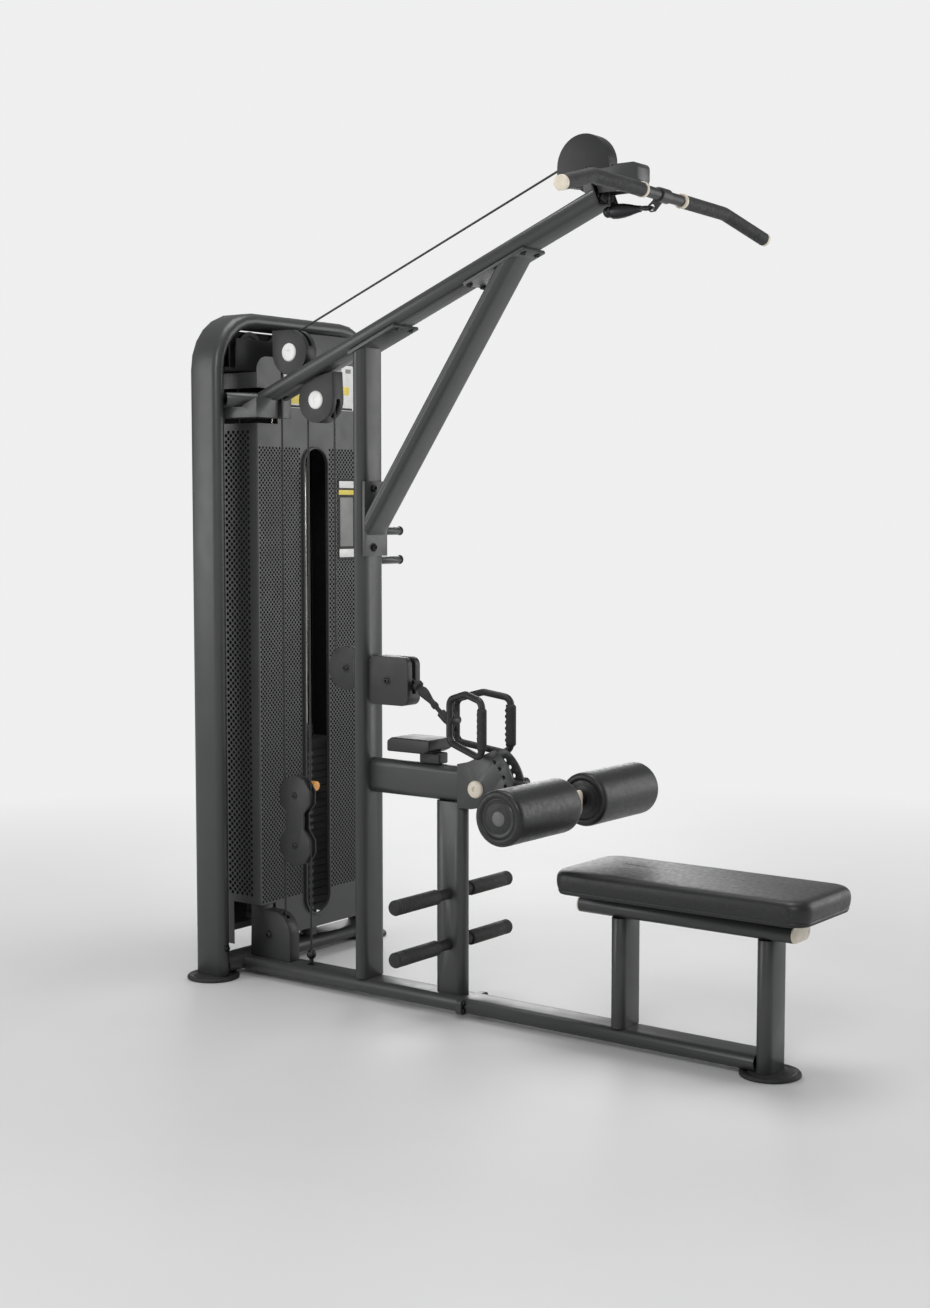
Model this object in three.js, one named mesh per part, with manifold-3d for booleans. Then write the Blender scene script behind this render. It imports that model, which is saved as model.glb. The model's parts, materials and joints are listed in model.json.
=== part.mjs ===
// Selectorised lat pull-down and low-row machine, in millimetres, +Z up.
// The model is drawn about the user's centre plane (X = 0, seat towards -Y, weight tower towards +Y)
// and is then moved so that the origin is the middle of its footprint on the floor.
import * as THREE from "three";
import { mergeVertices } from "three/addons/utils/BufferGeometryUtils.js";
import Module from "manifold-3d";

const wasm = await Module();
wasm.setup();

// ---------------------------------------------------------------- driving dimensions
const GAP = 0.3; // clearance left between pieces that touch
const TUBE_W = 95; // flat-sided oval frame tube, long side
const TUBE_T = 41; // flat-sided oval frame tube, short side
const WALL = 3; // tube wall

const RAIL_Z = 12.3; // underside of the floor rails, level with the feet's tops
const RAIL_TOP = RAIL_Z + TUBE_T;
const RAIL_JOINT_Y = 875; // bolted joint between the two lengths of main rail
const FLANGE_T = 8; // thickness of the bolted end plates

const FOOT_R = 74;
const FOOT_H = 12;

const ARCH_W = 110; // tower tube, front to back
const ARCH_T = 42; // tower tube, side to side
const ARCH_Y = 1705;
const ARCH_X = [-117, 547]; // centre lines of the two legs
const ARCH_TOP = 1881;
const ARCH_R = 144; // bend radius of the tube's centre line

const MAST_Y = 1225;
const BOOM_REF = { y: 979, z: 1881.5 }; // a point on the boom's centre line
const BOOM_SLOPE = 22.17; // degrees
const BOOM_TIP_Y = 476;
const BOOM_END_Y = 1604;
const BRACE_ANGLE = 34.6; // degrees from vertical
const BRACE_REF = { y: 1063, z: 1486 }; // a point on the brace's centre line
const BRACE_FOOT_Z = 1262;

const KNEE_Y = 938;
const BEAM_Z = [565, 660];
const BEAM_FRONT_Y = 892;
const PIVOT = { y: 843, z: 607 };
const ARM_H = 70;
const ARM_W = 38;
const ARM_REACH = 297; // from the pivot to the arm's square front end
const ARM_REAR = 28;
const ROLLER_AXIS = { y: 565, z: 596 };
const ROLLER_R = 69;
const ROLLER_X = [50, 318];
const SECTOR_R = 120;
const SECTOR_HOLE_R = 94.5;
const SECTOR_HOLE_ANGLES = [9.2, 23.6, 38.6, 52.4]; // degrees above the pivot, towards the seat
const CHEEK_T = 6;

const PEG_Z = [185, 320]; // foot pegs through the knee post
const PEG_HALF = 250;
const STORAGE_PEG_Z = [1192, 1271];

const SEAT_POST_Y = [0, 402];
const SEAT_TUBE_Z = 350;
const SEAT_TUBE_Y = [-72, 513];
const PAD_Y = [-150, 535];
const PAD_W = 280;
const PAD_Z = [391.5, 455];
const PAD_CORNER = 48;
const PAD_PLATE_Y = [40, 400]; // cross plates that the pad is screwed to

const PULLEY_R = 48; // centre of the cable round a pulley
const PULLEY_RIM = 52;
const PULLEY_T = 14;
const CABLE_R = 3;
const AXLE_R = 8;
const RUN_REAR_Y = 1532.5; // cable run down from the boom
const RUN_MID_Y = RUN_REAR_Y - 2 * PULLEY_R;
const RUN_FRONT_Y = RUN_MID_Y - 2 * PULLEY_R;
const TOP_PULLEY = { y: 512, z: 2150 };
const UPPER_PULLEY = { y: RUN_REAR_Y - PULLEY_R, z: 1760 };
const LOWER_PULLEY = { y: RUN_MID_Y - PULLEY_R, z: 1627 };
const BLOCK_Y = RUN_REAR_Y - PULLEY_R;
const BLOCK_Z = [387, 529]; // the two pulleys of the travelling block
const BLOCK_LOBE_R = 59;
const BASE_PULLEY = { y: RUN_REAR_Y + PULLEY_R, z: 122 };
const ROW_PULLEY = { y: RUN_FRONT_Y - PULLEY_R, z: 898 };
const EXIT_PULLEY = { y: 1139, z: 873 };
const ANCHOR_Z = 82;

const STACK_X = 214.5;
const STACK_Y = 1702;
const PLATE_W = 300;
const PLATE_D = 100;
const PLATE_PITCH = 22;
const PLATE_T = 21.4;
const PLATES = 22;
const PLATE_Z0 = 134;
const PINNED = 17; // the plate that the selector pin is in, counted from 0 at the bottom
const ROD_DX = 71.5;
const ROD_R = 10;
const STEM_R = 12.5;
const CROSS_PLATE_Z = [1716, 1724];
const HEAD_PULLEY_Z = 1780;

const SHROUD_X = [-31, 460];
const SHROUD_Y = [1598, 1830];
const SHROUD_T = 2;
const SHROUD_FRONT_Z = [103, 1756];
const SHROUD_SIDE_Z = [80, 1711];
const SLOT_X = [160, 259];
const SLOT_Z = [145, 1504];

const BAR = { y: 314, z: 2073.5, yaw: 3.3, r: 13.5, grip: 17 };
const BAR_HALF = 521.4;
const BAR_STRAIGHT = 335; // from the middle to where the bar bends down
const BAR_DROP = 46;
const BAR_FORWARD = 28;
const HOOK = { y: TOP_PULLEY.y - PULLEY_R, z: 2048, ringY: 358, ringR: 16, wire: 4, sleeve: [18, 8] };
const ROW_LEAVE = 131; // degrees round the exit pulley at which the cable leaves for the handle
const HANDLE_HUB = { y: 945, z: 772 };
const HANDLE_GRIP_Y = 797;
const HANDLE_SPREAD = [15, 64]; // half the distance between the loops, at the hub and at the grips
const HANDLE_REAR_Z = [722, 838];
const HANDLE_GRIP_Z = [693, 846];
const HANDLE_R = 9.5;
const HANDLE_BEND = 24;

const OFFSET = new THREE.Vector3(-48.5, -840, 0);

// ---------------------------------------------------------------- materials
const paint = (color, roughness, metalness = 0.3) =>
  new THREE.MeshStandardMaterial({ color, roughness, metalness });
const CHARCOAL = paint(0x4a4b4c, 0.45);
const BLACK = paint(0x202122, 0.5);
const PERFORATED = paint(0x444546, 0.5);
const CHROME = paint(0xd8d4c8, 0.15, 1);
const STEEL_PLATE = paint(0x2b2c2d, 0.55, 0.4);
const VINYL = paint(0x1a1a1b, 0.6, 0);
const RUBBER = paint(0x1d1d1e, 0.75, 0);
const NYLON = paint(0x252627, 0.5, 0);
const CABLE = paint(0x17181a, 0.4, 0);
const ORANGE = paint(0xf0a040, 0.35, 0);

// ---------------------------------------------------------------- geometry helpers
const point = (x, y, z) => new THREE.Vector3(x, y, z);
const rad = THREE.MathUtils.degToRad;

// A closed geometry as a solid that can be joined and cut.
function solidOf(geometry) {
  const bare = geometry.clone();
  bare.deleteAttribute("normal");
  bare.deleteAttribute("uv");
  const merged = mergeVertices(bare, 1e-3);
  const kept = [];
  for (let i = 0; i < merged.index.count; i += 3) {
    const [a, b, c] = [0, 1, 2].map((k) => merged.index.getX(i + k));
    if (a !== b && b !== c && a !== c) kept.push(a, b, c);
  }
  const vertProperties = new Float32Array(merged.attributes.position.array);
  const triVerts = new Uint32Array(kept);
  return new wasm.Manifold(new wasm.Mesh({ numProp: 3, vertProperties, triVerts }));
}

function geometryOf(solid) {
  const mesh = solid.getMesh();
  const geometry = new THREE.BufferGeometry();
  geometry.setAttribute("position", new THREE.BufferAttribute(mesh.vertProperties, 3));
  geometry.setIndex(new THREE.BufferAttribute(mesh.triVerts, 1));
  const faceted = geometry.toNonIndexed();
  faceted.computeVertexNormals();
  return faceted;
}

const join = (...geometries) =>
  geometryOf(geometries.map(solidOf).reduce((whole, piece) => whole.add(piece)));

const cut = (geometry, ...tools) =>
  geometryOf(tools.map(solidOf).reduce((whole, tool) => whole.subtract(tool), solidOf(geometry)));

// A box given by its lowest and highest corners.
function block(x, y, z) {
  const box = new THREE.BoxGeometry(x[1] - x[0], y[1] - y[0], z[1] - z[0]);
  return box.translate((x[0] + x[1]) / 2, (y[0] + y[1]) / 2, (z[0] + z[1]) / 2);
}

// A flat-sided oval, w wide and t thick, centred on the origin.
function oval(w, t) {
  const r = t / 2;
  const flat = w / 2 - r;
  const shape = new THREE.Shape();
  shape.moveTo(-flat, -r);
  shape.lineTo(flat, -r);
  shape.absarc(flat, 0, r, -Math.PI / 2, Math.PI / 2, false);
  shape.lineTo(-flat, r);
  shape.absarc(-flat, 0, r, Math.PI / 2, 1.5 * Math.PI, false);
  return shape;
}

function hollowOval(w, t) {
  const shape = oval(w, t);
  shape.holes.push(oval(w - 2 * WALL, t - 2 * WALL));
  return shape;
}

function roundedRect(x, y, r) {
  const shape = new THREE.Shape();
  shape.moveTo(x[0] + r, y[0]);
  shape.lineTo(x[1] - r, y[0]);
  shape.absarc(x[1] - r, y[0] + r, r, -Math.PI / 2, 0, false);
  shape.lineTo(x[1], y[1] - r);
  shape.absarc(x[1] - r, y[1] - r, r, 0, Math.PI / 2, false);
  shape.lineTo(x[0] + r, y[1]);
  shape.absarc(x[0] + r, y[1] - r, r, Math.PI / 2, Math.PI, false);
  shape.lineTo(x[0], y[0] + r);
  shape.absarc(x[0] + r, y[0] + r, r, Math.PI, 1.5 * Math.PI, false);
  return shape;
}

const circle = (x, y, r) => new THREE.Shape().absarc(x, y, r, 0, 2 * Math.PI, false);

const extrude = (shape, depth, curveSegments = 4) =>
  new THREE.ExtrudeGeometry(shape, { depth, bevelEnabled: false, curveSegments });

// Turns a geometry drawn along +Z so that it runs along +Y, or along +X.
const alongY = (geometry) => geometry.rotateX(-Math.PI / 2);
const alongX = (geometry) => geometry.rotateY(Math.PI / 2);

// A shape drawn in (Y, Z), extruded along X over the span given.
const sideways = (shape, x, curveSegments = 4) =>
  extrude(shape, x[1] - x[0], curveSegments).applyMatrix4(
    new THREE.Matrix4().set(0, 0, 1, x[0], 1, 0, 0, 0, 0, 1, 0, 0, 0, 0, 0, 1),
  );

// The same span on the near side of the middle and on the far side.
const bothSides = (inner, outer) => [
  [-outer, -inner],
  [inner, outer],
];

// A round bar from one point to another.
function bar(from, to, r, sides = 16) {
  const length = from.distanceTo(to);
  const turn = new THREE.Quaternion().setFromUnitVectors(point(0, 1, 0), to.clone().sub(from).normalize());
  const cylinder = new THREE.CylinderGeometry(r, r, length, sides);
  const middle = from.clone().add(to).divideScalar(2);
  return cylinder.applyQuaternion(turn).translate(middle.x, middle.y, middle.z);
}

const barX = (x, y, z, r, sides) => bar(point(x[0], y, z), point(x[1], y, z), r, sides);

// Straight lengths with round bends: a station at each end of a length and every few degrees in a bend.
class Route extends THREE.Curve {
  constructor(corners, radius, degreesPerStep = 15) {
    super();
    this.stations = [corners[0].clone()];
    this.tangents = [corners[1].clone().sub(corners[0]).normalize()];
    for (let i = 1; i < corners.length - 1; i++) this.bend(corners, i, radius, degreesPerStep);
    this.stations.push(corners.at(-1).clone());
    this.tangents.push(this.tangents.at(-1).clone());
  }
  bend(corners, i, radius, degreesPerStep) {
    const into = corners[i].clone().sub(corners[i - 1]).normalize();
    const out = corners[i + 1].clone().sub(corners[i]).normalize();
    const angle = into.angleTo(out);
    const setback = radius * Math.tan(angle / 2);
    const start = corners[i].clone().addScaledVector(into, -setback);
    const axis = into.clone().cross(out).normalize();
    const toCentre = axis.clone().cross(into);
    const centre = start.clone().addScaledVector(toCentre, radius);
    const steps = Math.max(2, Math.ceil(THREE.MathUtils.radToDeg(angle) / degreesPerStep));
    for (let k = 0; k <= steps; k++) {
      const turn = (angle * k) / steps;
      const spoke = start.clone().sub(centre).applyAxisAngle(axis, turn);
      this.stations.push(centre.clone().add(spoke));
      this.tangents.push(into.clone().applyAxisAngle(axis, turn));
    }
  }
  getPoint(t, target = new THREE.Vector3()) {
    return target.copy(this.stations[Math.round(t * (this.stations.length - 1))]);
  }
  getPointAt(u, target) {
    return this.getPoint(u, target);
  }
  getTangentAt(u, target = new THREE.Vector3()) {
    return target.copy(this.tangents[Math.round(u * (this.tangents.length - 1))]);
  }
}

const sweep = (shape, route, curveSegments = 4) =>
  new THREE.ExtrudeGeometry(shape, {
    steps: route.stations.length - 1,
    extrudePath: route,
    curveSegments,
  });

// A round rod or cable along a route.
const rod = (corners, bendRadius, r, sides = 8, degreesPerStep = 15) =>
  sweep(circle(0, 0, r), new Route(corners, bendRadius, degreesPerStep), sides / 2);

// ---------------------------------------------------------------- scene
const machine = new THREE.Group();
machine.position.copy(OFFSET);

function add(name, geometry, material) {
  const mesh = new THREE.Mesh(geometry, material);
  mesh.name = name;
  machine.add(mesh);
  return mesh;
}

// ---------------------------------------------------------------- boom line
const boomZ = (y) => BOOM_REF.z - (y - BOOM_REF.y) * Math.tan(rad(BOOM_SLOPE));

// Everything above a plane parallel to the boom, at a level measured square to its centre line.
const aboveBoom = (level) =>
  new THREE.BoxGeometry(400, 3000, 400)
    .translate(0, 0, level + 200)
    .rotateX(-rad(BOOM_SLOPE))
    .translate(0, BOOM_REF.y, BOOM_REF.z);

// The band of space that the boom takes, with the clearance given, to cut out of what meets it.
const boomBand = (clearance) =>
  new THREE.BoxGeometry(400, 3000, TUBE_T + 2 * clearance)
    .rotateX(-rad(BOOM_SLOPE))
    .translate(0, BOOM_REF.y, BOOM_REF.z);

// ---------------------------------------------------------------- floor frame
function addFoot(name, x, y) {
  const profile = [
    [0, 0],
    [FOOT_R, 0],
    [FOOT_R, FOOT_H * 0.6],
    [FOOT_R - 6, FOOT_H],
    [0, FOOT_H],
  ].map(([r, z]) => new THREE.Vector2(r, z));
  const disc = new THREE.LatheGeometry(profile, 28).rotateX(Math.PI / 2);
  add(name, disc.translate(x, y, 0), BLACK);
}

const railTube = (y) =>
  alongY(extrude(hollowOval(TUBE_W, TUBE_T), y[1] - y[0])).translate(0, y[0], RAIL_Z + TUBE_T / 2);

// The end plate of a rail, as high as the rail and bolted to its neighbour's.
function railFlange(y) {
  const plate = extrude(roundedRect([-62, 62], [RAIL_Z, RAIL_TOP], 12), FLANGE_T);
  return plate.rotateX(Math.PI / 2).translate(0, y + FLANGE_T, 0);
}

// A post of the frame tube, wide across the machine unless it is turned.
function postTube(y, z, turned = false) {
  const tube = extrude(hollowOval(TUBE_W, TUBE_T), z[1] - z[0]);
  if (turned) tube.rotateZ(Math.PI / 2);
  return tube.translate(0, y, z[0]);
}

function addFloorFrame() {
  addFoot("foot_front", 0, 0);
  addFoot("foot_near", ARCH_X[0], ARCH_Y);
  addFoot("foot_far", ARCH_X[1], ARCH_Y);

  const frontRail = railTube([TUBE_T / 2 + GAP, RAIL_JOINT_Y - GAP]);
  add("main_rail_front", join(frontRail, railFlange(RAIL_JOINT_Y - GAP - FLANGE_T)), CHARCOAL);
  const rearRail = railTube([RAIL_JOINT_Y, ARCH_Y - TUBE_W / 2 - GAP]);
  add("main_rail_rear", join(rearRail, railFlange(RAIL_JOINT_Y)), CHARCOAL);

  // The floor rail between the tower's legs, with the rubber-topped seats of the stack welded on it.
  const inner = [ARCH_X[0] + ARCH_T / 2 + GAP, ARCH_X[1] - ARCH_T / 2 - GAP];
  const floorRail = alongX(extrude(hollowOval(TUBE_W, TUBE_T), inner[1] - inner[0]).rotateZ(Math.PI / 2));
  floorRail.translate(inner[0], ARCH_Y, RAIL_Z + TUBE_T / 2);
  const seats = [-ROD_DX, ROD_DX].map((dx) =>
    bar(point(STACK_X + dx, STACK_Y, RAIL_TOP - 1), point(STACK_X + dx, STACK_Y, PLATE_Z0 - 1), 26, 20),
  );
  add("tower_floor_rail", join(floorRail, ...seats), CHARCOAL);
}

// ---------------------------------------------------------------- tower
function addTower() {
  const legTop = ARCH_TOP - ARCH_T / 2;
  const route = new Route(
    [
      point(ARCH_X[0], ARCH_Y, FOOT_H + GAP),
      point(ARCH_X[0], ARCH_Y, legTop),
      point(ARCH_X[1], ARCH_Y, legTop),
      point(ARCH_X[1], ARCH_Y, FOOT_H + GAP),
    ],
    ARCH_R,
    15,
  );
  add("tower_arch", sweep(hollowOval(ARCH_W, ARCH_T), route, 3), CHARCOAL);

  // Cross plate between the legs: it holds the guide rods' tops and, between two cheeks, the head pulleys.
  const inner = [ARCH_X[0] + ARCH_T / 2 + GAP, ARCH_X[1] - ARCH_T / 2 - GAP];
  const plate = block([inner[0] + 1, inner[1] - 1], [STACK_Y - 45, STACK_Y + 45], CROSS_PLATE_Z);
  const cheeks = bothSides(11, 15).map((y) =>
    block(
      [-18, STACK_X + 18],
      [STACK_Y + y[0], STACK_Y + y[1]],
      [CROSS_PLATE_Z[1] - 1, HEAD_PULLEY_Z + 30],
    ),
  );
  const axles = [PULLEY_R, STACK_X - PULLEY_R].map((x) =>
    bar(point(x, STACK_Y - 14, HEAD_PULLEY_Z), point(x, STACK_Y + 14, HEAD_PULLEY_Z), AXLE_R, 12),
  );
  const holes = [0, STACK_X].map((x) =>
    bar(point(x, STACK_Y, CROSS_PLATE_Z[0] - 5), point(x, STACK_Y, CROSS_PLATE_Z[1] + 5), 9, 10),
  );
  add("tower_head_bracket", cut(join(plate, ...cheeks, ...axles), ...holes), BLACK);

  const rodZ = [PLATE_Z0 - 1 + GAP, CROSS_PLATE_Z[0] - GAP];
  [-ROD_DX, ROD_DX].forEach((dx, i) => {
    const x = STACK_X + dx;
    const guide = bar(point(x, STACK_Y, rodZ[0]), point(x, STACK_Y, rodZ[1]), ROD_R, 16);
    add(["guide_rod_near", "guide_rod_far"][i], guide, CHROME);
  });
}

// The shroud's two sides and back, folded from one sheet and let into the back of the front panel.
function shroudWalls() {
  const [x0, x1] = [SHROUD_X[0] + 0.5, SHROUD_X[1] - 0.5];
  const [y0, y1] = [SHROUD_Y[0] + 1, SHROUD_Y[1]];
  const plan = new THREE.Shape();
  plan.moveTo(x0, y0);
  plan.lineTo(x0 + SHROUD_T, y0);
  plan.lineTo(x0 + SHROUD_T, y1 - SHROUD_T);
  plan.lineTo(x1 - SHROUD_T, y1 - SHROUD_T);
  plan.lineTo(x1 - SHROUD_T, y0);
  plan.lineTo(x1, y0);
  plan.lineTo(x1, y1);
  plan.lineTo(x0, y1);
  return extrude(plan, SHROUD_SIDE_Z[1] - SHROUD_SIDE_Z[0]).translate(0, 0, SHROUD_SIDE_Z[0]);
}

// The sheet-metal shroud round the stack: a front with the selector slot, two sides and a back.
function addShroud() {
  const [x0, x1] = SHROUD_X;
  const y0 = SHROUD_Y[0];
  const corner = 40;
  const front = new THREE.Shape();
  front.moveTo(x0, SHROUD_FRONT_Z[0]);
  front.lineTo(x1, SHROUD_FRONT_Z[0]);
  front.lineTo(x1, SHROUD_FRONT_Z[1] - corner);
  front.absarc(x1 - corner, SHROUD_FRONT_Z[1] - corner, corner, 0, Math.PI / 2, false);
  front.lineTo(x0 + corner, SHROUD_FRONT_Z[1]);
  front.absarc(x0 + corner, SHROUD_FRONT_Z[1] - corner, corner, Math.PI / 2, Math.PI, false);
  front.holes.push(slotShape(0));
  const frontPanel = extrude(front, SHROUD_T, 5).rotateX(Math.PI / 2).translate(0, y0 + SHROUD_T, 0);
  const shell = join(frontPanel, shroudWalls(), slotLip(y0));
  const clearOfFloor = [
    block([x0 - 5, x1 + 5], [1640, 1770], [0, RAIL_TOP + 10]),
    block([x0 - 5, 30], [y0 - 5, 1705], [0, 205]),
  ];
  const clearOfBoom = block([x0 - 5, 54], [y0 - 10, 1725], [1570, 1668]);
  add("shroud", cut(shell, ...clearOfFloor, clearOfBoom), PERFORATED);
}

// The selector slot's outline, round at both ends, grown outwards by an amount.
function slotShape(grow) {
  const middle = (SLOT_X[0] + SLOT_X[1]) / 2;
  const half = (SLOT_X[1] - SLOT_X[0]) / 2;
  const shape = new THREE.Shape();
  shape.absarc(middle, SLOT_Z[1] - half, half + grow, 0, Math.PI, false);
  shape.absarc(middle, SLOT_Z[0] + half, half + grow, Math.PI, 2 * Math.PI, false);
  return shape;
}

// The raised lip round the selector slot.
function slotLip(y0) {
  const lip = slotShape(5);
  lip.holes.push(slotShape(0.5));
  return extrude(lip, 7, 5).rotateX(Math.PI / 2).translate(0, y0 + 1, 0);
}

// ---------------------------------------------------------------- weight stack
// A run of plates held together, as a comb of edges: from plate first to plate last.
function plateRun(first, last) {
  const half = PLATE_W / 2;
  const notch = 3;
  const outline = [];
  for (let i = first; i <= last; i++) {
    const z = PLATE_Z0 + i * PLATE_PITCH;
    outline.push([half, z], [half, z + PLATE_T]);
    if (i < last) outline.push([half - notch, z + PLATE_T], [half - notch, z + PLATE_PITCH]);
  }
  const mirrored = outline.map(([x, z]) => [-x, z]).reverse();
  const shape = new THREE.Shape([...outline, ...mirrored].map(([x, z]) => new THREE.Vector2(x, z)));
  return extrude(shape, PLATE_D)
    .rotateX(Math.PI / 2)
    .translate(STACK_X, STACK_Y + PLATE_D / 2, 0);
}

const stackBore = (dx, r, z) =>
  bar(point(STACK_X + dx, STACK_Y, z[0]), point(STACK_X + dx, STACK_Y, z[1]), r, 12);

function addStack() {
  const tall = [PLATE_Z0 - 20, PLATE_Z0 + PLATES * PLATE_PITCH + 200];
  const rodBores = [-ROD_DX, ROD_DX].map((dx) => stackBore(dx, ROD_R + 1.5, tall));
  const stemBore = stackBore(0, STEM_R + 1, tall);
  const pinZ = PLATE_Z0 + PINNED * PLATE_PITCH + PLATE_T / 2;
  const pinBore = bar(point(STACK_X, STACK_Y - 80, pinZ), point(STACK_X, STACK_Y + 30, pinZ), 5.5, 10);

  const resting = cut(plateRun(0, PINNED - 1), ...rodBores, stemBore);
  const lifted = cut(plateRun(PINNED, PLATES - 1), ...rodBores, stemBore, pinBore);
  add("weight_plates_resting", resting, STEEL_PLATE);
  add("weight_plates_lifted", lifted, STEEL_PLATE);

  // Head plate with its two bushes, the cable boss and the long selector stem below it.
  const headZ = PLATE_Z0 + PLATES * PLATE_PITCH + GAP;
  const half = PLATE_W / 2;
  const head = block(
    [STACK_X - half, STACK_X + half],
    [STACK_Y - PLATE_D / 2, STACK_Y + PLATE_D / 2],
    [headZ, headZ + 30],
  );
  const bushes = [-ROD_DX, ROD_DX].map((dx) => stackBore(dx, 19, [headZ + 20, headZ + 70]));
  const boss = stackBore(0, 17, [headZ + 20, headZ + 80]);
  const stem = stackBore(0, STEM_R, [PLATE_Z0 + 18, headZ + 30]);
  add("weight_head", cut(join(head, ...bushes, boss, stem), ...rodBores, pinBore), STEEL_PLATE);

  const knob = bar(point(STACK_X, 1601, pinZ), point(STACK_X, 1641, pinZ), 14, 20);
  const shank = bar(point(STACK_X, 1640, pinZ), point(STACK_X, STACK_Y + 20, pinZ), 4.5, 10);
  add("selector_pin", join(knob, shank), ORANGE);
}

// ---------------------------------------------------------------- mast, boom and brace
function addMast() {
  const tall = cut(postTube(MAST_Y, [RAIL_TOP + GAP, 1900]), aboveBoom(-TUBE_T / 2 - 7));
  const capPlate = new THREE.BoxGeometry(TUBE_W + 10, 170, 8)
    .translate(0, 0, -TUBE_T / 2 - GAP - 4)
    .rotateX(-rad(BOOM_SLOPE))
    .translate(0, MAST_Y - 45, boomZ(MAST_Y - 45));
  const pegs = STORAGE_PEG_Z.map((z) => barX([TUBE_W / 2 - 2, 136], MAST_Y, z, 11, 14));
  const rowSlot = block([-9, 9], [MAST_Y - 40, MAST_Y + 40], [845, 925]);
  add("mast_post", cut(join(tall, capPlate, ...pegs), rowSlot), CHARCOAL);
}

function addBoom() {
  const end = point(0, BOOM_END_Y, boomZ(BOOM_END_Y));
  const legFace = point(ARCH_X[0] + ARCH_T / 2 + GAP, BOOM_END_Y + 60, end.z);
  const route = new Route([point(0, BOOM_TIP_Y, boomZ(BOOM_TIP_Y)), end, legFace], 26, 20);
  const tube = sweep(hollowOval(TUBE_W, TUBE_T), route, 3);
  // A gusset under the tube's end reaches over to the near leg.
  const legInner = ARCH_X[0] + ARCH_T / 2 + GAP;
  const gusset = new THREE.Shape([
    new THREE.Vector2(1540, 1583),
    new THREE.Vector2(1592, 1583),
    new THREE.Vector2(1592, 1616),
    new THREE.Vector2(1540, 1637),
  ]);
  const shelf = sideways(gusset, [legInner, 47]);
  const web = block([legInner, -34], [1560, 1700], [1583, 1612]);
  // Yoke at the tip, which carries the top pulley's cover and the fairlead block.
  const yoke = bothSides(22, 28).map((x) => sideways(roundedRect([368, 520], [2092, 2150], 14), x));
  const nose = sideways(roundedRect([366, 442], [2104, 2156], 14), [-28, 28]);
  const trimmed = cut(
    join(tube, shelf, web, ...yoke, nose),
    block([-9, 9], [1512, 1552], [1500, 1760]), // the cable passes down through the boom
  );
  add("boom", trimmed, CHARCOAL);
}

function addBrace() {
  const length = 1200;
  const tube = extrude(hollowOval(TUBE_W, TUBE_T), length)
    .translate(0, 0, -length / 2)
    .rotateX(rad(BRACE_ANGLE))
    .translate(0, BRACE_REF.y, BRACE_REF.z);
  const mastFront = MAST_Y - TUBE_T / 2 - GAP;
  const trimmed = cut(
    tube,
    aboveBoom(-TUBE_T / 2 - 7),
    block([-100, 100], [mastFront - 8, 1800], [800, 2200]),
    block([-100, 100], [900, 1800], [500, BRACE_FOOT_Z]),
  );
  const footPlate = block([-TUBE_W / 2, TUBE_W / 2], [mastFront - 8, mastFront], [1205, 1405]);
  const topPlate = new THREE.BoxGeometry(TUBE_W, 200, 8)
    .translate(0, 0, -TUBE_T / 2 - GAP - 4)
    .rotateX(-rad(BOOM_SLOPE))
    .translate(0, 785, boomZ(785));
  const vent = bar(point(0, mastFront - 20, 1294), point(0, mastFront + 5, 1294), 6, 10);
  add("brace", cut(join(trimmed, footPlate, topPlate), boomBand(GAP), vent), CHARCOAL);
}

// ---------------------------------------------------------------- knee hold-down and foot pegs
function addKneeFrame() {
  const tube = postTube(KNEE_Y, [RAIL_TOP + GAP, BEAM_Z[0] - GAP], true);
  const pegHoles = PEG_Z.map((z) => barX([-60, 60], KNEE_Y, z, 14 + GAP, 16));
  add("knee_post", cut(tube, ...pegHoles), CHARCOAL);

  PEG_Z.forEach((z, i) => {
    const profile = [
      [0, -PEG_HALF],
      [20, -PEG_HALF],
      [20, -72],
      [14, -72],
      [14, 72],
      [20, 72],
      [20, PEG_HALF],
      [0, PEG_HALF],
    ].map(([r, x]) => new THREE.Vector2(r, x));
    const peg = new THREE.LatheGeometry(profile, 16).rotateZ(-Math.PI / 2);
    add(["foot_peg_lower", "foot_peg_upper"][i], peg.translate(0, KNEE_Y, z), RUBBER);
  });

  const beamLength = MAST_Y - TUBE_T / 2 - GAP - BEAM_FRONT_Y;
  const tubeBeam = extrude(hollowOval(TUBE_W, TUBE_T), beamLength).rotateZ(Math.PI / 2);
  const placed = alongY(tubeBeam).translate(0, BEAM_FRONT_Y, (BEAM_Z[0] + BEAM_Z[1]) / 2);
  const inner = TUBE_T / 2 - 0.5; // let into the beam's sides
  const cheeks = bothSides(inner, inner + CHEEK_T).map((x) => sideways(sectorPlate(), x));
  const pivotBolt = barX([-31, 31], PIVOT.y, PIVOT.z, 10, 14);
  add("knee_beam", join(placed, ...cheeks, pivotBolt), CHARCOAL);
}

// The adjustment sector, drawn in (Y, Z), with its row of holes on the arc round the pivot.
function sectorPlate() {
  const shape = new THREE.Shape();
  const from = rad(168);
  const to = rad(118);
  shape.moveTo(905, 553);
  shape.lineTo(905, 668);
  shape.lineTo(870, 676);
  shape.lineTo(PIVOT.y + SECTOR_R * Math.cos(to), PIVOT.z + SECTOR_R * Math.sin(to));
  shape.absarc(PIVOT.y, PIVOT.z, SECTOR_R, to, from, false);
  shape.lineTo(732, 612);
  shape.lineTo(826, 560);
  shape.lineTo(860, 553);
  for (const angle of SECTOR_HOLE_ANGLES) {
    const turn = Math.PI - rad(angle);
    const y = PIVOT.y + SECTOR_HOLE_R * Math.cos(turn);
    const z = PIVOT.z + SECTOR_HOLE_R * Math.sin(turn);
    shape.holes.push(circle(y, z, 6));
  }
  return shape;
}

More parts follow.
